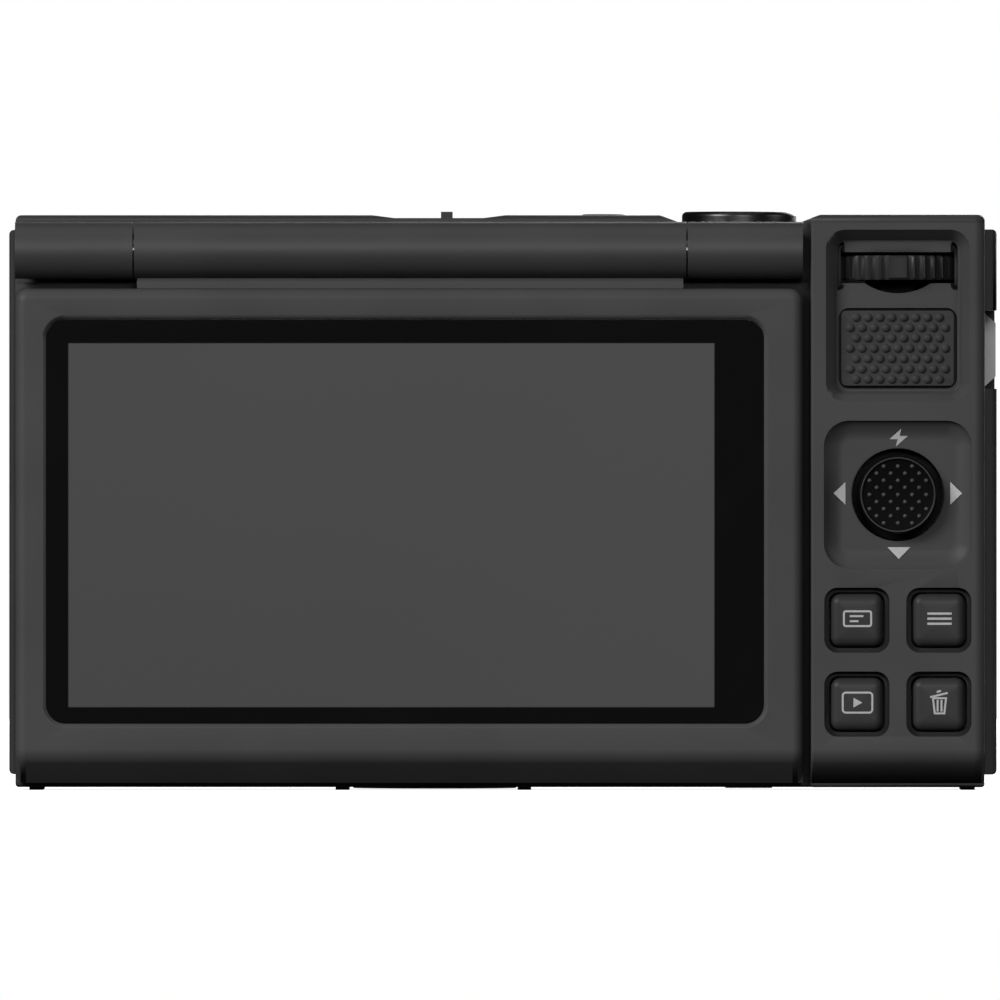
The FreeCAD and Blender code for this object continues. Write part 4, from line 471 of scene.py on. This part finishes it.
def finish_piece(name, mesh, material, body, stands_for, crease):
    """A shown object from a mesh: shaded smooth up to the crease angle, given its material and tied
    to its body; the frame nodes that it stands for are hidden."""
    mesh.shade_smooth()
    mesh.set_sharp_from_angle(angle=math.radians(crease))
    mesh.materials.clear()
    mesh.materials.append(material)
    obj = bpy.data.objects.new(name, mesh)
    bpy.context.scene.collection.objects.link(obj)
    weights = obj.modifiers.new("even_shading", "WEIGHTED_NORMAL")
    weights.keep_sharp = True
    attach(obj, body)
    if stands_for:
        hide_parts(*stands_for)


def skin(node, material, crease=32.0):
    """The frame node's own surface, merged, its flat faces made whole so that they shade flat, and
    shaded smooth over its fillets."""
    source = frame["nodes"][node]
    work = bmesh.new()
    work.from_mesh(source.data)
    bmesh.ops.remove_doubles(work, verts=work.verts, dist=0.002 * MM)
    bmesh.ops.dissolve_limit(work, angle_limit=math.radians(0.4), use_dissolve_boundaries=False,
                             verts=work.verts, edges=work.edges)
    mesh = bpy.data.meshes.new(f"{node}_skin")
    work.to_mesh(mesh)
    work.free()
    finish_piece(f"{node}_skin", mesh, material, source["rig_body"], (node,), crease)


def turned(profile, centre, axis, steps, wave=None, closed=False):
    """A profile of (radius, along) carried round an axis through centre, at centre + radius * cos(angle)
    and centre + radius * sin(angle). wave(angle) is added to the radius of the profile points that have
    a third number, times that number."""
    profile = np.array([(*p, 0.0) if len(p) == 2 else p for p in profile], float)
    angle = np.arange(steps) * math.tau / steps
    radius = profile[:, 0, None] + np.zeros(steps)
    if wave is not None:
        radius = radius + profile[:, 2, None] * wave(angle)[None, :]
    across = [a for a in range(3) if a != axis]
    points = np.empty((len(profile), steps, 3))
    points[..., axis] = profile[:, 1, None]
    points[..., across[0]] = centre[across[0]] + radius * np.cos(angle)
    points[..., across[1]] = centre[across[1]] + radius * np.sin(angle)
    return points, lattice(len(profile), steps, closed)


def outline(half_x, half_z, radius, per_corner=ARC_POINTS):
    """A rectangle with round corners about the origin: quarter arcs joined end to end, each at its
    corner's middle + radius * (cos(turn), sin(turn))."""
    turn = np.linspace(0, math.pi / 2, per_corner)
    quarter = np.arange(4)[:, None] * math.pi / 2
    sign_x = np.array([1, -1, -1, 1])[:, None]
    sign_z = np.array([1, 1, -1, -1])[:, None]
    x = sign_x * (half_x - radius) + radius * np.cos(turn + quarter)
    z = sign_z * (half_z - radius) + radius * np.sin(turn + quarter)
    return np.stack((x.ravel(), z.ravel()), -1)


def stacked(levels, centre):
    """Rounded rectangles of (half width, half height, corner radius, y) piled up along y.
    A level of no size closes an end."""
    rows = [np.insert(outline(a, b, r), 1, y, axis=1) for a, b, r, y in levels]
    points = np.stack(rows) + np.array([centre[0], 0.0, centre[2]])
    return points, lattice(len(levels), 4 * ARC_POINTS)


def cap_levels(half_x, half_z, corner, face, back, edge, crown, rings=6):
    """Levels of a soft-edged cap: straight sides, a quarter-round edge, then a crown that rises as the
    square of the distance from the edge."""
    levels = [(0.0, 0.0, 0.0, back), (half_x, half_z, corner, back),
              (half_x, half_z, corner, face + crown + edge)]
    for turn in np.linspace(0, math.pi / 2, rings)[1:]:
        inset = edge * (1 - math.cos(turn))
        levels.append((half_x - inset, half_z - inset, max(corner - inset, 0.2 * corner),
                       face + crown + edge * (1 - math.sin(turn))))
    for share in np.linspace(0, 1, rings)[1:]:
        left = 1 - share
        levels.append(((half_x - edge) * left, (half_z - edge) * left,
                       max(corner - edge, 0.2 * corner) * left, face + crown * left ** 2))
    return levels


def repeated(points, faces, offsets):
    """The same small surface at several places."""
    flat = points.reshape(-1, 3)
    moved = flat[None] + np.asarray(offsets)[:, None]
    shifts = np.arange(len(offsets))[:, None, None] * len(flat)
    return moved.reshape(-1, 3), (np.asarray(faces)[None] + shifts).reshape(-1, 4)


def bump(radius, height, y, steps, rings):
    """A dome about the origin: radius times cosine, height times sine, pointing along -Y."""
    turn = np.linspace(0, math.pi / 2, rings)
    profile = [(0.0, y)] + [(radius * math.cos(t), y - height * math.sin(t)) for t in turn]
    return turned(profile, (0, 0, 0), 1, steps)


def prism(corners, front, back):
    """A flat shape with straight sides, from a loop of (x, z) corners, between two y places. Each place
    is one number, or a number for each corner."""
    loop = np.asarray(corners, float)
    count = len(loop)
    points = np.concatenate([np.insert(loop, 1, y, axis=1) for y in (front, back)])
    ring = np.arange(count)
    after = (ring + 1) % count
    sides = np.stack((ring, after, after + count, ring + count), -1).tolist()
    return points, [ring.tolist(), (ring + count).tolist()] + sides


def sign(name, shapes, centre, surface, body, material):
    """A printed sign made of flat shapes about centre, standing on a surface that faces -Y. A shape is
    a list of corners, or a pair of loops, outer and inner, for a line that closes on itself."""
    proud = sizes().legend_proud
    start, points, faces = 0, [], []
    for shape in shapes:
        if isinstance(shape, tuple):
            outer, inner = (np.asarray(loop, float) for loop in shape)
            levels = ((outer, -proud), (inner, -proud), (inner, SIGN_ROOT), (outer, SIGN_ROOT))
            some_points = np.concatenate([np.insert(loop, 1, y, axis=1) for loop, y in levels])
            some_faces = lattice(4, len(outer), True).tolist()
        else:
            some_points, some_faces = prism(shape, -proud, SIGN_ROOT)
        points.append(some_points)
        faces += [[corner + start for corner in face] for face in some_faces]
        start += len(some_points)
    places = np.concatenate(points) + np.array([centre[0], surface, centre[1]])
    finish_piece(name, mesh_of(name, places, faces), material, body, (), 30.0)


def box_loop(x, z, half_x, half_z):
    """The four corners of a rectangle about (x, z)."""
    left, right, low, high = x - half_x, x + half_x, z - half_z, z + half_z
    return [(left, low), (right, low), (right, high), (left, high)]


FINISHES = {}


def finishes():
    """Every finish, made once, by its slot in the record or, for a few, by its own or a node's name."""
    if FINISHES:
        return FINISHES
    tint = bpy.context.scene.camera_colours
    case, cover, control = tuple(tint.case), tuple(tint.cover), tuple(tint.control)
    lens = middle_of("lens_ring") * MM
    shutter = middle_of("shutter_button") * MM
    glass_low, glass_high = place_of("screen_glass")
    lit_low = (glass_low + LIT_MARGIN_LOW) * MM
    lit_high = (glass_high - LIT_MARGIN_HIGH) * MM
    # painted shade: steel parts seen through gaps are painted near-black so that the gaps read dark
    gap_shade_black = moulded("steel_painted_shade_black", (0.004, 0.004, 0.004), 0.6, specular=0.15)
    FINISHES.update({
        # the case gets painted shade in hollows narrower than 1.2 mm
        "case_black": moulded("case_black", case, 0.52, painted_shade_reach=0.0012),
        "cover_black": moulded("cover_black", cover, 0.46, 0.00018, 0.000003),
        "trim_black": moulded("trim_black", shade(cover, 0.9), 0.42, 0.0003, 0.000004),
        "screen_black": moulded("screen_black", case, 0.5),
        "hinge_black": moulded("hinge_black", shade(case, 0.72), 0.5, 0.00018, 0.000003, specular=0.5),
        "rubber": soft_rubber("rubber", tuple(tint.rubber)),
        "control_black": moulded("control_black", control, 0.42, 0.00016, 0.000002),
        "button_metal": spun_metal("button_metal", (0.055, 0.055, 0.057), 0.36, lens, 1),
        "button_top": spun_metal("button_top", (0.07, 0.07, 0.072), 0.34, shutter, 2, 0.0003),
        "lug_metal": moulded("lug_metal", (0.86, 0.86, 0.85), 0.42, 0.00025, 0.000006),
        "steel": plain_metal("steel", (0.50, 0.50, 0.49), 0.32, (1, 1, 6)),
        "blade_metal": plain_metal("blade_metal", (0.03, 0.03, 0.032), 0.4, (5, 1, 1)),
        "screen_glass": cover_glass("screen_glass", lit_low, lit_high, tuple(tint.display)),
        "lens_glass": lens_glass("lens_glass"),
        "window_clear": clear_window("window_clear", (0.82, 0.82, 0.78)),
        "reflector": plain_metal("reflector", (0.85, 0.85, 0.84), 0.14, (1, 4, 1)),
        "display": moulded("display", tuple(tint.display), 0.3),
        "board": circuit_board("board"),
        "component": moulded("component", (0.045, 0.045, 0.048), 0.45),
        "socket_steel": plain_metal("socket_steel", (0.56, 0.56, 0.55), 0.3, (1, 1, 5)),
        "battery_wrap": moulded("battery_wrap", (0.075, 0.078, 0.09), 0.38),
        "sign": printed_sign("sign", tuple(tint.legend)),
        "key_black": moulded("key_black", control, 0.40, 0.00018, 0.000002),
        "wheel": moulded("wheel", shade(control, 0.7), 0.34, 0.0004, 0.000002),
        # painted shade: the wheel bracket, stick rings and stick cradle are near-black so that the gaps
        # round them read dark
        "wheel_bracket": gap_shade_black,
        "stick_outer_ring": gap_shade_black,
        "stick_inner_ring": gap_shade_black,
        "stick_cradle": gap_shade_black,
        "stick_black": moulded("stick_black", (0.003, 0.003, 0.003), 0.5, 0.0002, 0.000002, specular=0.06),
        # painted highlights: the stick's rim and points are lighter copies of the near-black cap plastic
        "stick_rim": moulded("stick_rim", (0.055, 0.055, 0.055), 0.35, 0.0004, 0.000001),
        "stick_points": moulded("stick_points", (0.085, 0.085, 0.085), 0.25, 0.0004, 0.000001),
    })
    return FINISHES


# ---- the pieces ----

class CAMERA_OT_shells(bpy.types.Operator):
    """Case halves, covers, edge trims and small doors, shaded smooth over their fillets"""
    bl_idname = "camera_looks.shells"
    bl_label = "Case and covers"

    def execute(self, context):
        finish = finishes()
        for node in ("front_shell", "rear_shell"):
            skin(node, finish["case_black"])
        for node in ("top_cover", "base_plate", "screen_back_cover"):
            skin(node, finish["cover_black"])
        for node in ("side_trim_left", "side_trim_right", "port_cover", "battery_door", "door_latch"):
            skin(node, finish["trim_black"])
        skin("strap_lug", finish["lug_metal"])
        skin("feet", finish["rubber"])
        skin("mode_slider", finish["control_black"])
        skin("tripod_socket", finish["steel"])
        skin("hinge_pins", finish["steel"])
        return {"FINISHED"}


class CAMERA_OT_screen(bpy.types.Operator):
    """Screen frame, cover glass and the barrel hinge that carries them"""
    bl_idname = "camera_looks.screen"
    bl_label = "Screen and hinge"

    def execute(self, context):
        finish = finishes()
        skin("screen_bezel", finish["screen_black"])
        skin("screen_glass", finish["screen_glass"])
        for node in ("hinge_barrel", "hinge_knuckle_left", "hinge_knuckle_right"):
            skin(node, finish["hinge_black"])
        return {"FINISHED"}


class CAMERA_OT_thumb_pad(bpy.types.Operator):
    """Rubber pad with staggered rows of domes"""
    bl_idname = "camera_looks.thumb_pad"
    bl_label = "Thumb pad"

    def execute(self, context):
        finish = finishes()
        low, high = place_of("thumb_pad")
        middle = (low + high) / 2
        own = sizes()
        face = low[1] + own.bump_height
        half_x, half_z = (high - low)[[0, 2]] / 2 - own.pad_groove
        levels = cap_levels(half_x, half_z, corner=0.55, face=face, back=high[1], edge=0.14, crown=0.0,
                            rings=4)
        pitch_x, pitch_z = 1.225, 1.06
        rows, longest, sunk = 7, 9, 0.004
        row = np.arange(rows)
        column = np.arange(longest)
        across = (column - (longest - 1) / 2) * pitch_x
        z, x = np.meshgrid((rows // 2 - row) * pitch_z, across, indexing="ij")
        long_row = (row % 2 == 1)[:, None]
        x = x + np.where(long_row, 0.0, pitch_x / 2)
        kept = long_row | (column[None, :] < longest - 1)
        spots = np.stack((x[kept] + middle[0], np.zeros(kept.sum()), z[kept] + middle[2]), -1)
        domes = repeated(*bump(own.bump_radius, own.bump_height, face + sunk, 14, 5), spots)
        piece("thumb_pad_ribbed", (stacked(levels, middle), domes), finish["rubber"], "root",
              ("thumb_pad",), 40.0)
        return {"FINISHED"}


class CAMERA_OT_wheel(bpy.types.Operator):
    """Thumb wheel with round-bottomed grooves and a plain land at its rest place"""
    bl_idname = "camera_looks.wheel"
    bl_label = "Thumb wheel"

    def execute(self, context):
        finish = finishes()
        own = sizes()
        low, high = place_of("thumb_wheel")
        middle = (low + high) / 2
        radius, half = (high - low)[0] / 2, (high - low)[2] / 2
        ribs, depth = own.rib_count, own.rib_depth
        half_land, steps_per_rib = 1.0, 16

        def wave(angle):
            """A groove is one hump of a cosine, squared off by a power; none within the land."""
            groove = (0.5 - 0.5 * np.cos(ribs * angle)) ** 0.45
            away = np.abs((angle - 1.5 * math.pi + math.pi) % math.tau - math.pi) * radius
            return -depth * groove * (away > half_land)

        edge = 0.22
        profile = [(0.0, -half), (1.9, -half), (2.0, -half + 0.1), (radius - 1.2, -half + 0.1),
                   (radius - 1.1, -half), (radius - edge, -half, 0.4), (radius, -half + edge, 1.0),
                   (radius, half - edge, 1.0), (radius - edge, half, 0.4), (radius - 1.1, half),
                   (radius - 1.2, half - 0.1), (2.0, half - 0.1), (1.9, half), (0.0, half)]
        profile = [(p[0], p[1] + middle[2], *p[2:]) for p in profile]
        surface = turned(profile, middle, 2, ribs * steps_per_rib, wave)
        piece("thumb_wheel_ribbed", (surface,), finish["wheel"], "wheel",
              ("thumb_wheel",), 30.0)
        return {"FINISHED"}


class CAMERA_OT_stick(bpy.types.Operator):
    """Joystick cap: a thin rim round a sunk face set with rows of points; the rim and the points are painted
    lighter than the face, as painted highlights
    """
    bl_idname = "camera_looks.stick"
    bl_label = "Joystick"

    def execute(self, context):
        finish = finishes()
        low, high = place_of("stick_cap")
        middle = (low + high) / 2
        radius = (high - low)[0] / 2
        top = low[1]
        cap = turned([(0.0, high[1]), (radius * 0.5, high[1]), (radius * 0.55, high[1] - 0.8),
                      (radius, top + 1.3), (radius, top + 0.35), (radius - 0.05, top + 0.18),
                      (radius - 0.12, top + 0.07), (radius - 0.16, top + 0.05)], middle, 1, 96)
        rim = turned([(radius - 0.17, top + 0.3), (radius - 0.17, top + 0.05), (radius - 0.2, top + 0.01),
                      (radius - 0.25, top), (radius - 0.3, top + 0.03), (radius - 0.34, top + 0.08),
                      (radius - 0.34, top + 0.3)], middle, 1, 96, closed=True)
        hollow = turned([(radius - 0.16, top + 0.05), (radius - 0.3, top + 0.1), (radius - 0.45, top + 0.22),
                         (radius - 0.8, top + 0.27), (0.0, top + 0.27)], middle, 1, 96)
        piece("stick_cap_body", (cap, hollow), finish["stick_black"], "stick",
              ("stick_cap",), 30.0)
        # the rim and the points get lighter finishes: painted highlights
        piece("stick_rim", (rim,), finish["stick_rim"], "stick", (), 30.0)
        step = 0.73
        row, column = np.meshgrid(np.arange(-5, 6), np.arange(-4, 5), indexing="ij")
        z = row * step
        x = column * 2 * step + (row % 2) * step
        inside = np.hypot(x, z) < radius - 0.62
        spots = np.stack((x[inside] + middle[0], np.zeros(inside.sum()), z[inside] + middle[2]), -1)
        tip = [(0.0, top + 0.35), (0.24, top + 0.35), (0.2, top + 0.16), (0.12, top + 0.06),
               (0.0, top + 0.02)]
        points = repeated(*turned(tip, (0, 0, 0), 1, 10), spots)
        piece("stick_points", (points,), finish["stick_points"], "stick", (), 50.0)
        return {"FINISHED"}


def round_frame(half_x, half_z, radius, line):
    """A closed line of one width round a soft-cornered rectangle: an outer and an inner loop."""
    return (outline(half_x, half_z, radius, 6),
            outline(half_x - line, half_z - line, max(radius - line, 0.02), 6))


class CAMERA_OT_keys(bpy.types.Operator):
    """Four square keys with soft edges, crowned tops and printed signs"""
    bl_idname = "camera_looks.keys"
    bl_label = "Keys"

    def execute(self, context):
        finish = finishes()
        own = sizes()
        play = [(-0.42, -0.5), (0.5, 0.0), (-0.42, 0.5)]
        bars = [box_loop(0, 0.52 * row, 1.25, 0.115) for row in (-1, 0, 1)]
        lines = [box_loop(-0.1, 0.26, 0.7, 0.1), box_loop(-0.35, -0.26, 0.45, 0.1)]
        bin_wall = [(-0.78, 0.55), (-0.58, -1.2), (0.58, -1.2), (0.78, 0.55)]
        bin_inside = [(-0.56, 0.36), (-0.4, -1.01), (0.4, -1.01), (0.56, 0.36)]
        lid = [(-0.99, 0.66), (0.82, 1.1), (0.87, 0.9), (-0.94, 0.46)]
        knob = [(-0.32, 1.0), (-0.25, 1.22), (0.12, 1.31), (0.17, 1.11)]
        signs = {
            "disp_key": [round_frame(1.5, 0.86, 0.3, 0.2)] + lines,
            "menu_key": bars,
            "play_key": [round_frame(1.62, 1.13, 0.42, 0.2), play],
            "trash_key": [(bin_wall, bin_inside), lid, knob,
                          box_loop(-0.2, -0.32, 0.1, 0.6), box_loop(0.2, -0.32, 0.1, 0.6)],
        }
        nudge_x, nudge_z = 0.06, 0.16
        for node, shapes in signs.items():
            low, high = place_of(node)
            middle = (low + high) / 2
            half = own.key_width / 2
            face = low[1]
            cap = stacked(cap_levels(half, half, 1.0, face, high[1], own.key_edge, own.key_crown), middle)
            piece(f"{node}_cap", (cap,), finish["key_black"], node, (node,), 40.0)
            sign(f"{node}_sign", shapes, (middle[0] + nudge_x, middle[2] + nudge_z), face, node,
                 finish["sign"])
        return {"FINISHED"}


class CAMERA_OT_dish_signs(bpy.types.Operator):
    """Printed signs on the floor of the joystick's dish"""
    bl_idname = "camera_looks.dish_signs"
    bl_label = "Dish signs"

    def execute(self, context):
        finish = finishes()
        centre = middle_of("stick_cap")
        reach = 5.95
        floor = -13.25
        flash = [(0.29, 0.94), (0.12, 0.2), (0.98, 0.2), (-0.28, -0.9), (-0.08, -0.14), (-0.93, -0.14)]
        arrow = np.array([(-0.66, 0.0), (0.56, 1.18), (0.56, -1.18)])
        spots = {
            "sign_flash": (flash, 0.06, reach - 0.1),
            "sign_left": (arrow, -reach, 0.15),
            "sign_right": (arrow * (-1, 1), reach, 0.15),
            "sign_down": (arrow[:, ::-1] * (1, 1), 0.1, -reach),
        }
        for name, (loop, x, z) in spots.items():
            along = 0 if abs(x) > abs(z) else 1
            drape_sign(name, loop, (centre[0] + x, centre[2] + z), centre[[0, 2]], along, floor,
                       finish["sign"])
        return {"FINISHED"}


def drape_sign(name, loop, place, centre, along, floor, material):
    """A flat sign bent up a dish's wall: past the foot, the wall is a circle of a 2 mm radius, so a
    point d beyond the foot rises by 2 - sqrt(4 - d * d)."""
    foot, bend, furthest, root = 5.62, 2.0, 1.6, 0.1
    flat = np.asarray(loop, float) + np.asarray(place)
    beyond = np.clip(np.abs(flat[:, along] - centre[along]) - foot, 0.0, furthest)
    surface = floor - (bend - np.sqrt(bend ** 2 - beyond ** 2))
    points, faces = prism(flat, surface - sizes().legend_proud, surface + root)
    finish_piece(name, mesh_of(name, points, faces), material, "root", (), 30.0)


class CAMERA_OT_top_controls(bpy.types.Operator):
    """Shutter and power buttons, turned, with softly dished tops"""
    bl_idname = "camera_looks.top_controls"
    bl_label = "Top buttons"

    def execute(self, context):
        finish = finishes()
        flange_height, near_top = 0.5, 0.6
        for node, body, edge, dish in (("shutter_button", "shutter", 0.5, 0.12),
                                       ("power_button", "power", 0.2, 0.1)):
            low, high = place_of(node)
            middle = (low + high) / 2
            places = corners_of(node) - middle
            reach = np.hypot(places[:, 0], places[:, 1])
            flange, top, foot = reach.max(), high[2], low[2]
            shank = reach[places[:, 2] > (high - middle)[2] - near_top].max()
            turn = np.linspace(0, math.pi / 2, 6)
            shoulder = foot + flange_height
            profile = [(0.0, foot), (flange, foot), (flange, shoulder), (shank, shoulder)]
            profile += [(shank - edge * (1 - math.cos(t)), top - edge * (1 - math.sin(t))) for t in turn]
            share = np.linspace(1, 0, 7)
            profile += [((shank - edge - 0.15) * s, top - dish * (1 - s * s) - 0.02) for s in share]
            piece(f"{node}_cap", (turned(profile, middle, 2, 128),), finish["button_top"], body,
                  (node,), 30.0)
        return {"FINISHED"}


class CAMERA_OT_lens(bpy.types.Operator):
    """Lens ring, zoom barrels, front ring, front lens and door blades, with the flash window and lamp"""
    bl_idname = "camera_looks.lens"
    bl_label = "Lens"

    def execute(self, context):
        finish = finishes()
        for node, body in (("lens_ring", "root"), ("zoom_barrel_outer", "zoom_outer"),
                           ("zoom_barrel_inner", "zoom_inner"), ("lens_front_ring", "zoom_inner")):
            skin(node, finish["button_metal"], 25.0)
        skin("front_lens", finish["lens_glass"], 40.0)
        skin("flash_window", finish["window_clear"])
        skin("focus_lamp", finish["window_clear"])
        for node in ("lens_door_upper", "lens_door_lower"):
            skin(node, finish["blade_metal"])
        return {"FINISHED"}


class CAMERA_OT_inside(bpy.types.Operator):
    """Every frame node gets the finish of its slot, or its own where it has one"""
    bl_idname = "camera_looks.inside"
    bl_label = "Inner parts"

    def execute(self, context):
        finish = finishes()
        for row in frame["record"]["subparts"]:
            mesh = frame["nodes"][row["node"]].data
            mesh.materials.clear()
            mesh.materials.append(finish.get(row["node"], finish[row["material_slot"]]))
        return {"FINISHED"}


# ---- the stage ----

def area_light(name, place, width, height, power):
    """A rectangular lamp that faces LIGHT_AIM."""
    data = bpy.data.lights.new(name, "AREA")
    data.shape = "RECTANGLE"
    data.size, data.size_y = width, height
    data.energy = power
    lamp = bpy.data.objects.new(name, data)
    bpy.context.scene.collection.objects.link(lamp)
    lamp.location = place
    way = np.array(LIGHT_AIM) - np.array(place)
    flat = math.hypot(way[0], way[1])
    lamp.rotation_euler = (math.atan2(flat, -way[2]), 0.0, math.atan2(way[1], way[0]) - math.pi / 2)


def white_floor(scene):
    """A pale square floor that glows, and neither lights the object nor shows in it."""
    finish = Finish("floor_white")
    cloud = finish.noise(0.3, 2.0)
    finish.set(Base_Color=finish.blend(cloud.step(0.2, 0.8), (0.9, 0.9, 0.9), (0.93, 0.93, 0.93)),
               Roughness=0.9 + (cloud - 0.5) * 0.05, Emission_Color=(1, 1, 1, 1), Emission_Strength=0.85)
    mesh = bpy.data.meshes.new("floor")
    reach = 1.1
    corners = [(-reach, -reach, 0), (reach, -reach, 0), (reach, reach, 0), (-reach, reach, 0)]
    mesh.from_pydata(corners, [], [(0, 1, 2, 3)])
    mesh.materials.append(finish.material)
    floor = bpy.data.objects.new("floor", mesh)
    scene.collection.objects.link(floor)
    floor.visible_diffuse = False
    floor.visible_glossy = False


def studio_world(scene):
    """A dim grey world that the camera itself sees as white."""
    world = bpy.data.worlds.new("studio")
    world.use_nodes = True
    scene.world = world
    tree = world.node_tree
    backdrop = tree.nodes["Background"]
    backdrop.inputs["Color"].default_value = (0.5, 0.5, 0.5, 1)
    backdrop.inputs["Strength"].default_value = 0.04
    white = tree.nodes.new("ShaderNodeBackground")
    white.inputs["Color"].default_value = (1, 1, 1, 1)
    path = tree.nodes.new("ShaderNodeLightPath")
    choice = tree.nodes.new("ShaderNodeMixShader")
    tree.links.new(path.outputs["Is Camera Ray"], choice.inputs[0])
    tree.links.new(backdrop.outputs[0], choice.inputs[1])
    tree.links.new(white.outputs[0], choice.inputs[2])
    tree.links.new(choice.outputs[0], tree.nodes["World Output"].inputs["Surface"])


def rear_camera(scene):
    """A long lens straight behind the object, so far back that it sees VIEW_WIDTH at the rear shell."""
    low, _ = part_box("rear_shell")
    lens, sensor = 1200.0, 36.0
    data = bpy.data.cameras.new("camera")
    data.lens = lens
    data.sensor_width = sensor
    data.clip_start, data.clip_end = 0.05, 30.0
    camera = bpy.data.objects.new("camera", data)
    scene.collection.objects.link(camera)
    camera.location = (VIEW_CENTRE[0], low[1] - VIEW_WIDTH * lens / sensor, VIEW_CENTRE[1])
    camera.rotation_euler = (math.pi / 2, 0, 0)
    scene.camera = camera


class CAMERA_OT_stage(bpy.types.Operator):
    """Pale floor, soft lights and the camera, level with the middle of the object"""
    bl_idname = "camera_looks.stage"
    bl_label = "Stage"

    def execute(self, context):
        scene = context.scene
        scene.view_settings.view_transform = "Standard"
        white_floor(scene)
        studio_world(scene)
        for light in LIGHTS:
            area_light(*light)
        rear_camera(scene)
        return {"FINISHED"}


STEPS = (CAMERA_OT_stage, CAMERA_OT_inside, CAMERA_OT_shells, CAMERA_OT_screen, CAMERA_OT_thumb_pad,
         CAMERA_OT_wheel, CAMERA_OT_stick, CAMERA_OT_keys, CAMERA_OT_dish_signs, CAMERA_OT_top_controls,
         CAMERA_OT_lens)


class CAMERA_PT_looks(bpy.types.Panel):
    """The sizes, the colours and every step that builds the looks"""
    bl_label = "Camera"
    bl_idname = "CAMERA_PT_looks"
    bl_space_type = "VIEW_3D"
    bl_region_type = "UI"
    bl_category = "Camera"

    def draw(self, context):
        layout = self.layout
        for group in (context.scene.camera_sizes, context.scene.camera_colours):
            box = layout.box()
            for name in group.bl_rna.properties.keys():
                if name not in ("rna_type", "name"):
                    box.prop(group, name)
        for step in STEPS:
            layout.operator(step.bl_idname)


CLASSES = (CameraSizes, CameraColours, *STEPS, CAMERA_PT_looks)


def register():
    for cls in CLASSES:
        bpy.utils.register_class(cls)
    bpy.types.Scene.camera_sizes = bpy.props.PointerProperty(type=CameraSizes)
    bpy.types.Scene.camera_colours = bpy.props.PointerProperty(type=CameraColours)


def unregister():
    del bpy.types.Scene.camera_colours
    del bpy.types.Scene.camera_sizes
    for cls in reversed(CLASSES):
        bpy.utils.unregister_class(cls)


def main():
    register()
    for step in STEPS:
        group, name = step.bl_idname.split(".")
        getattr(getattr(bpy.ops, group), name)()


if __name__ == "__main__":
    main()
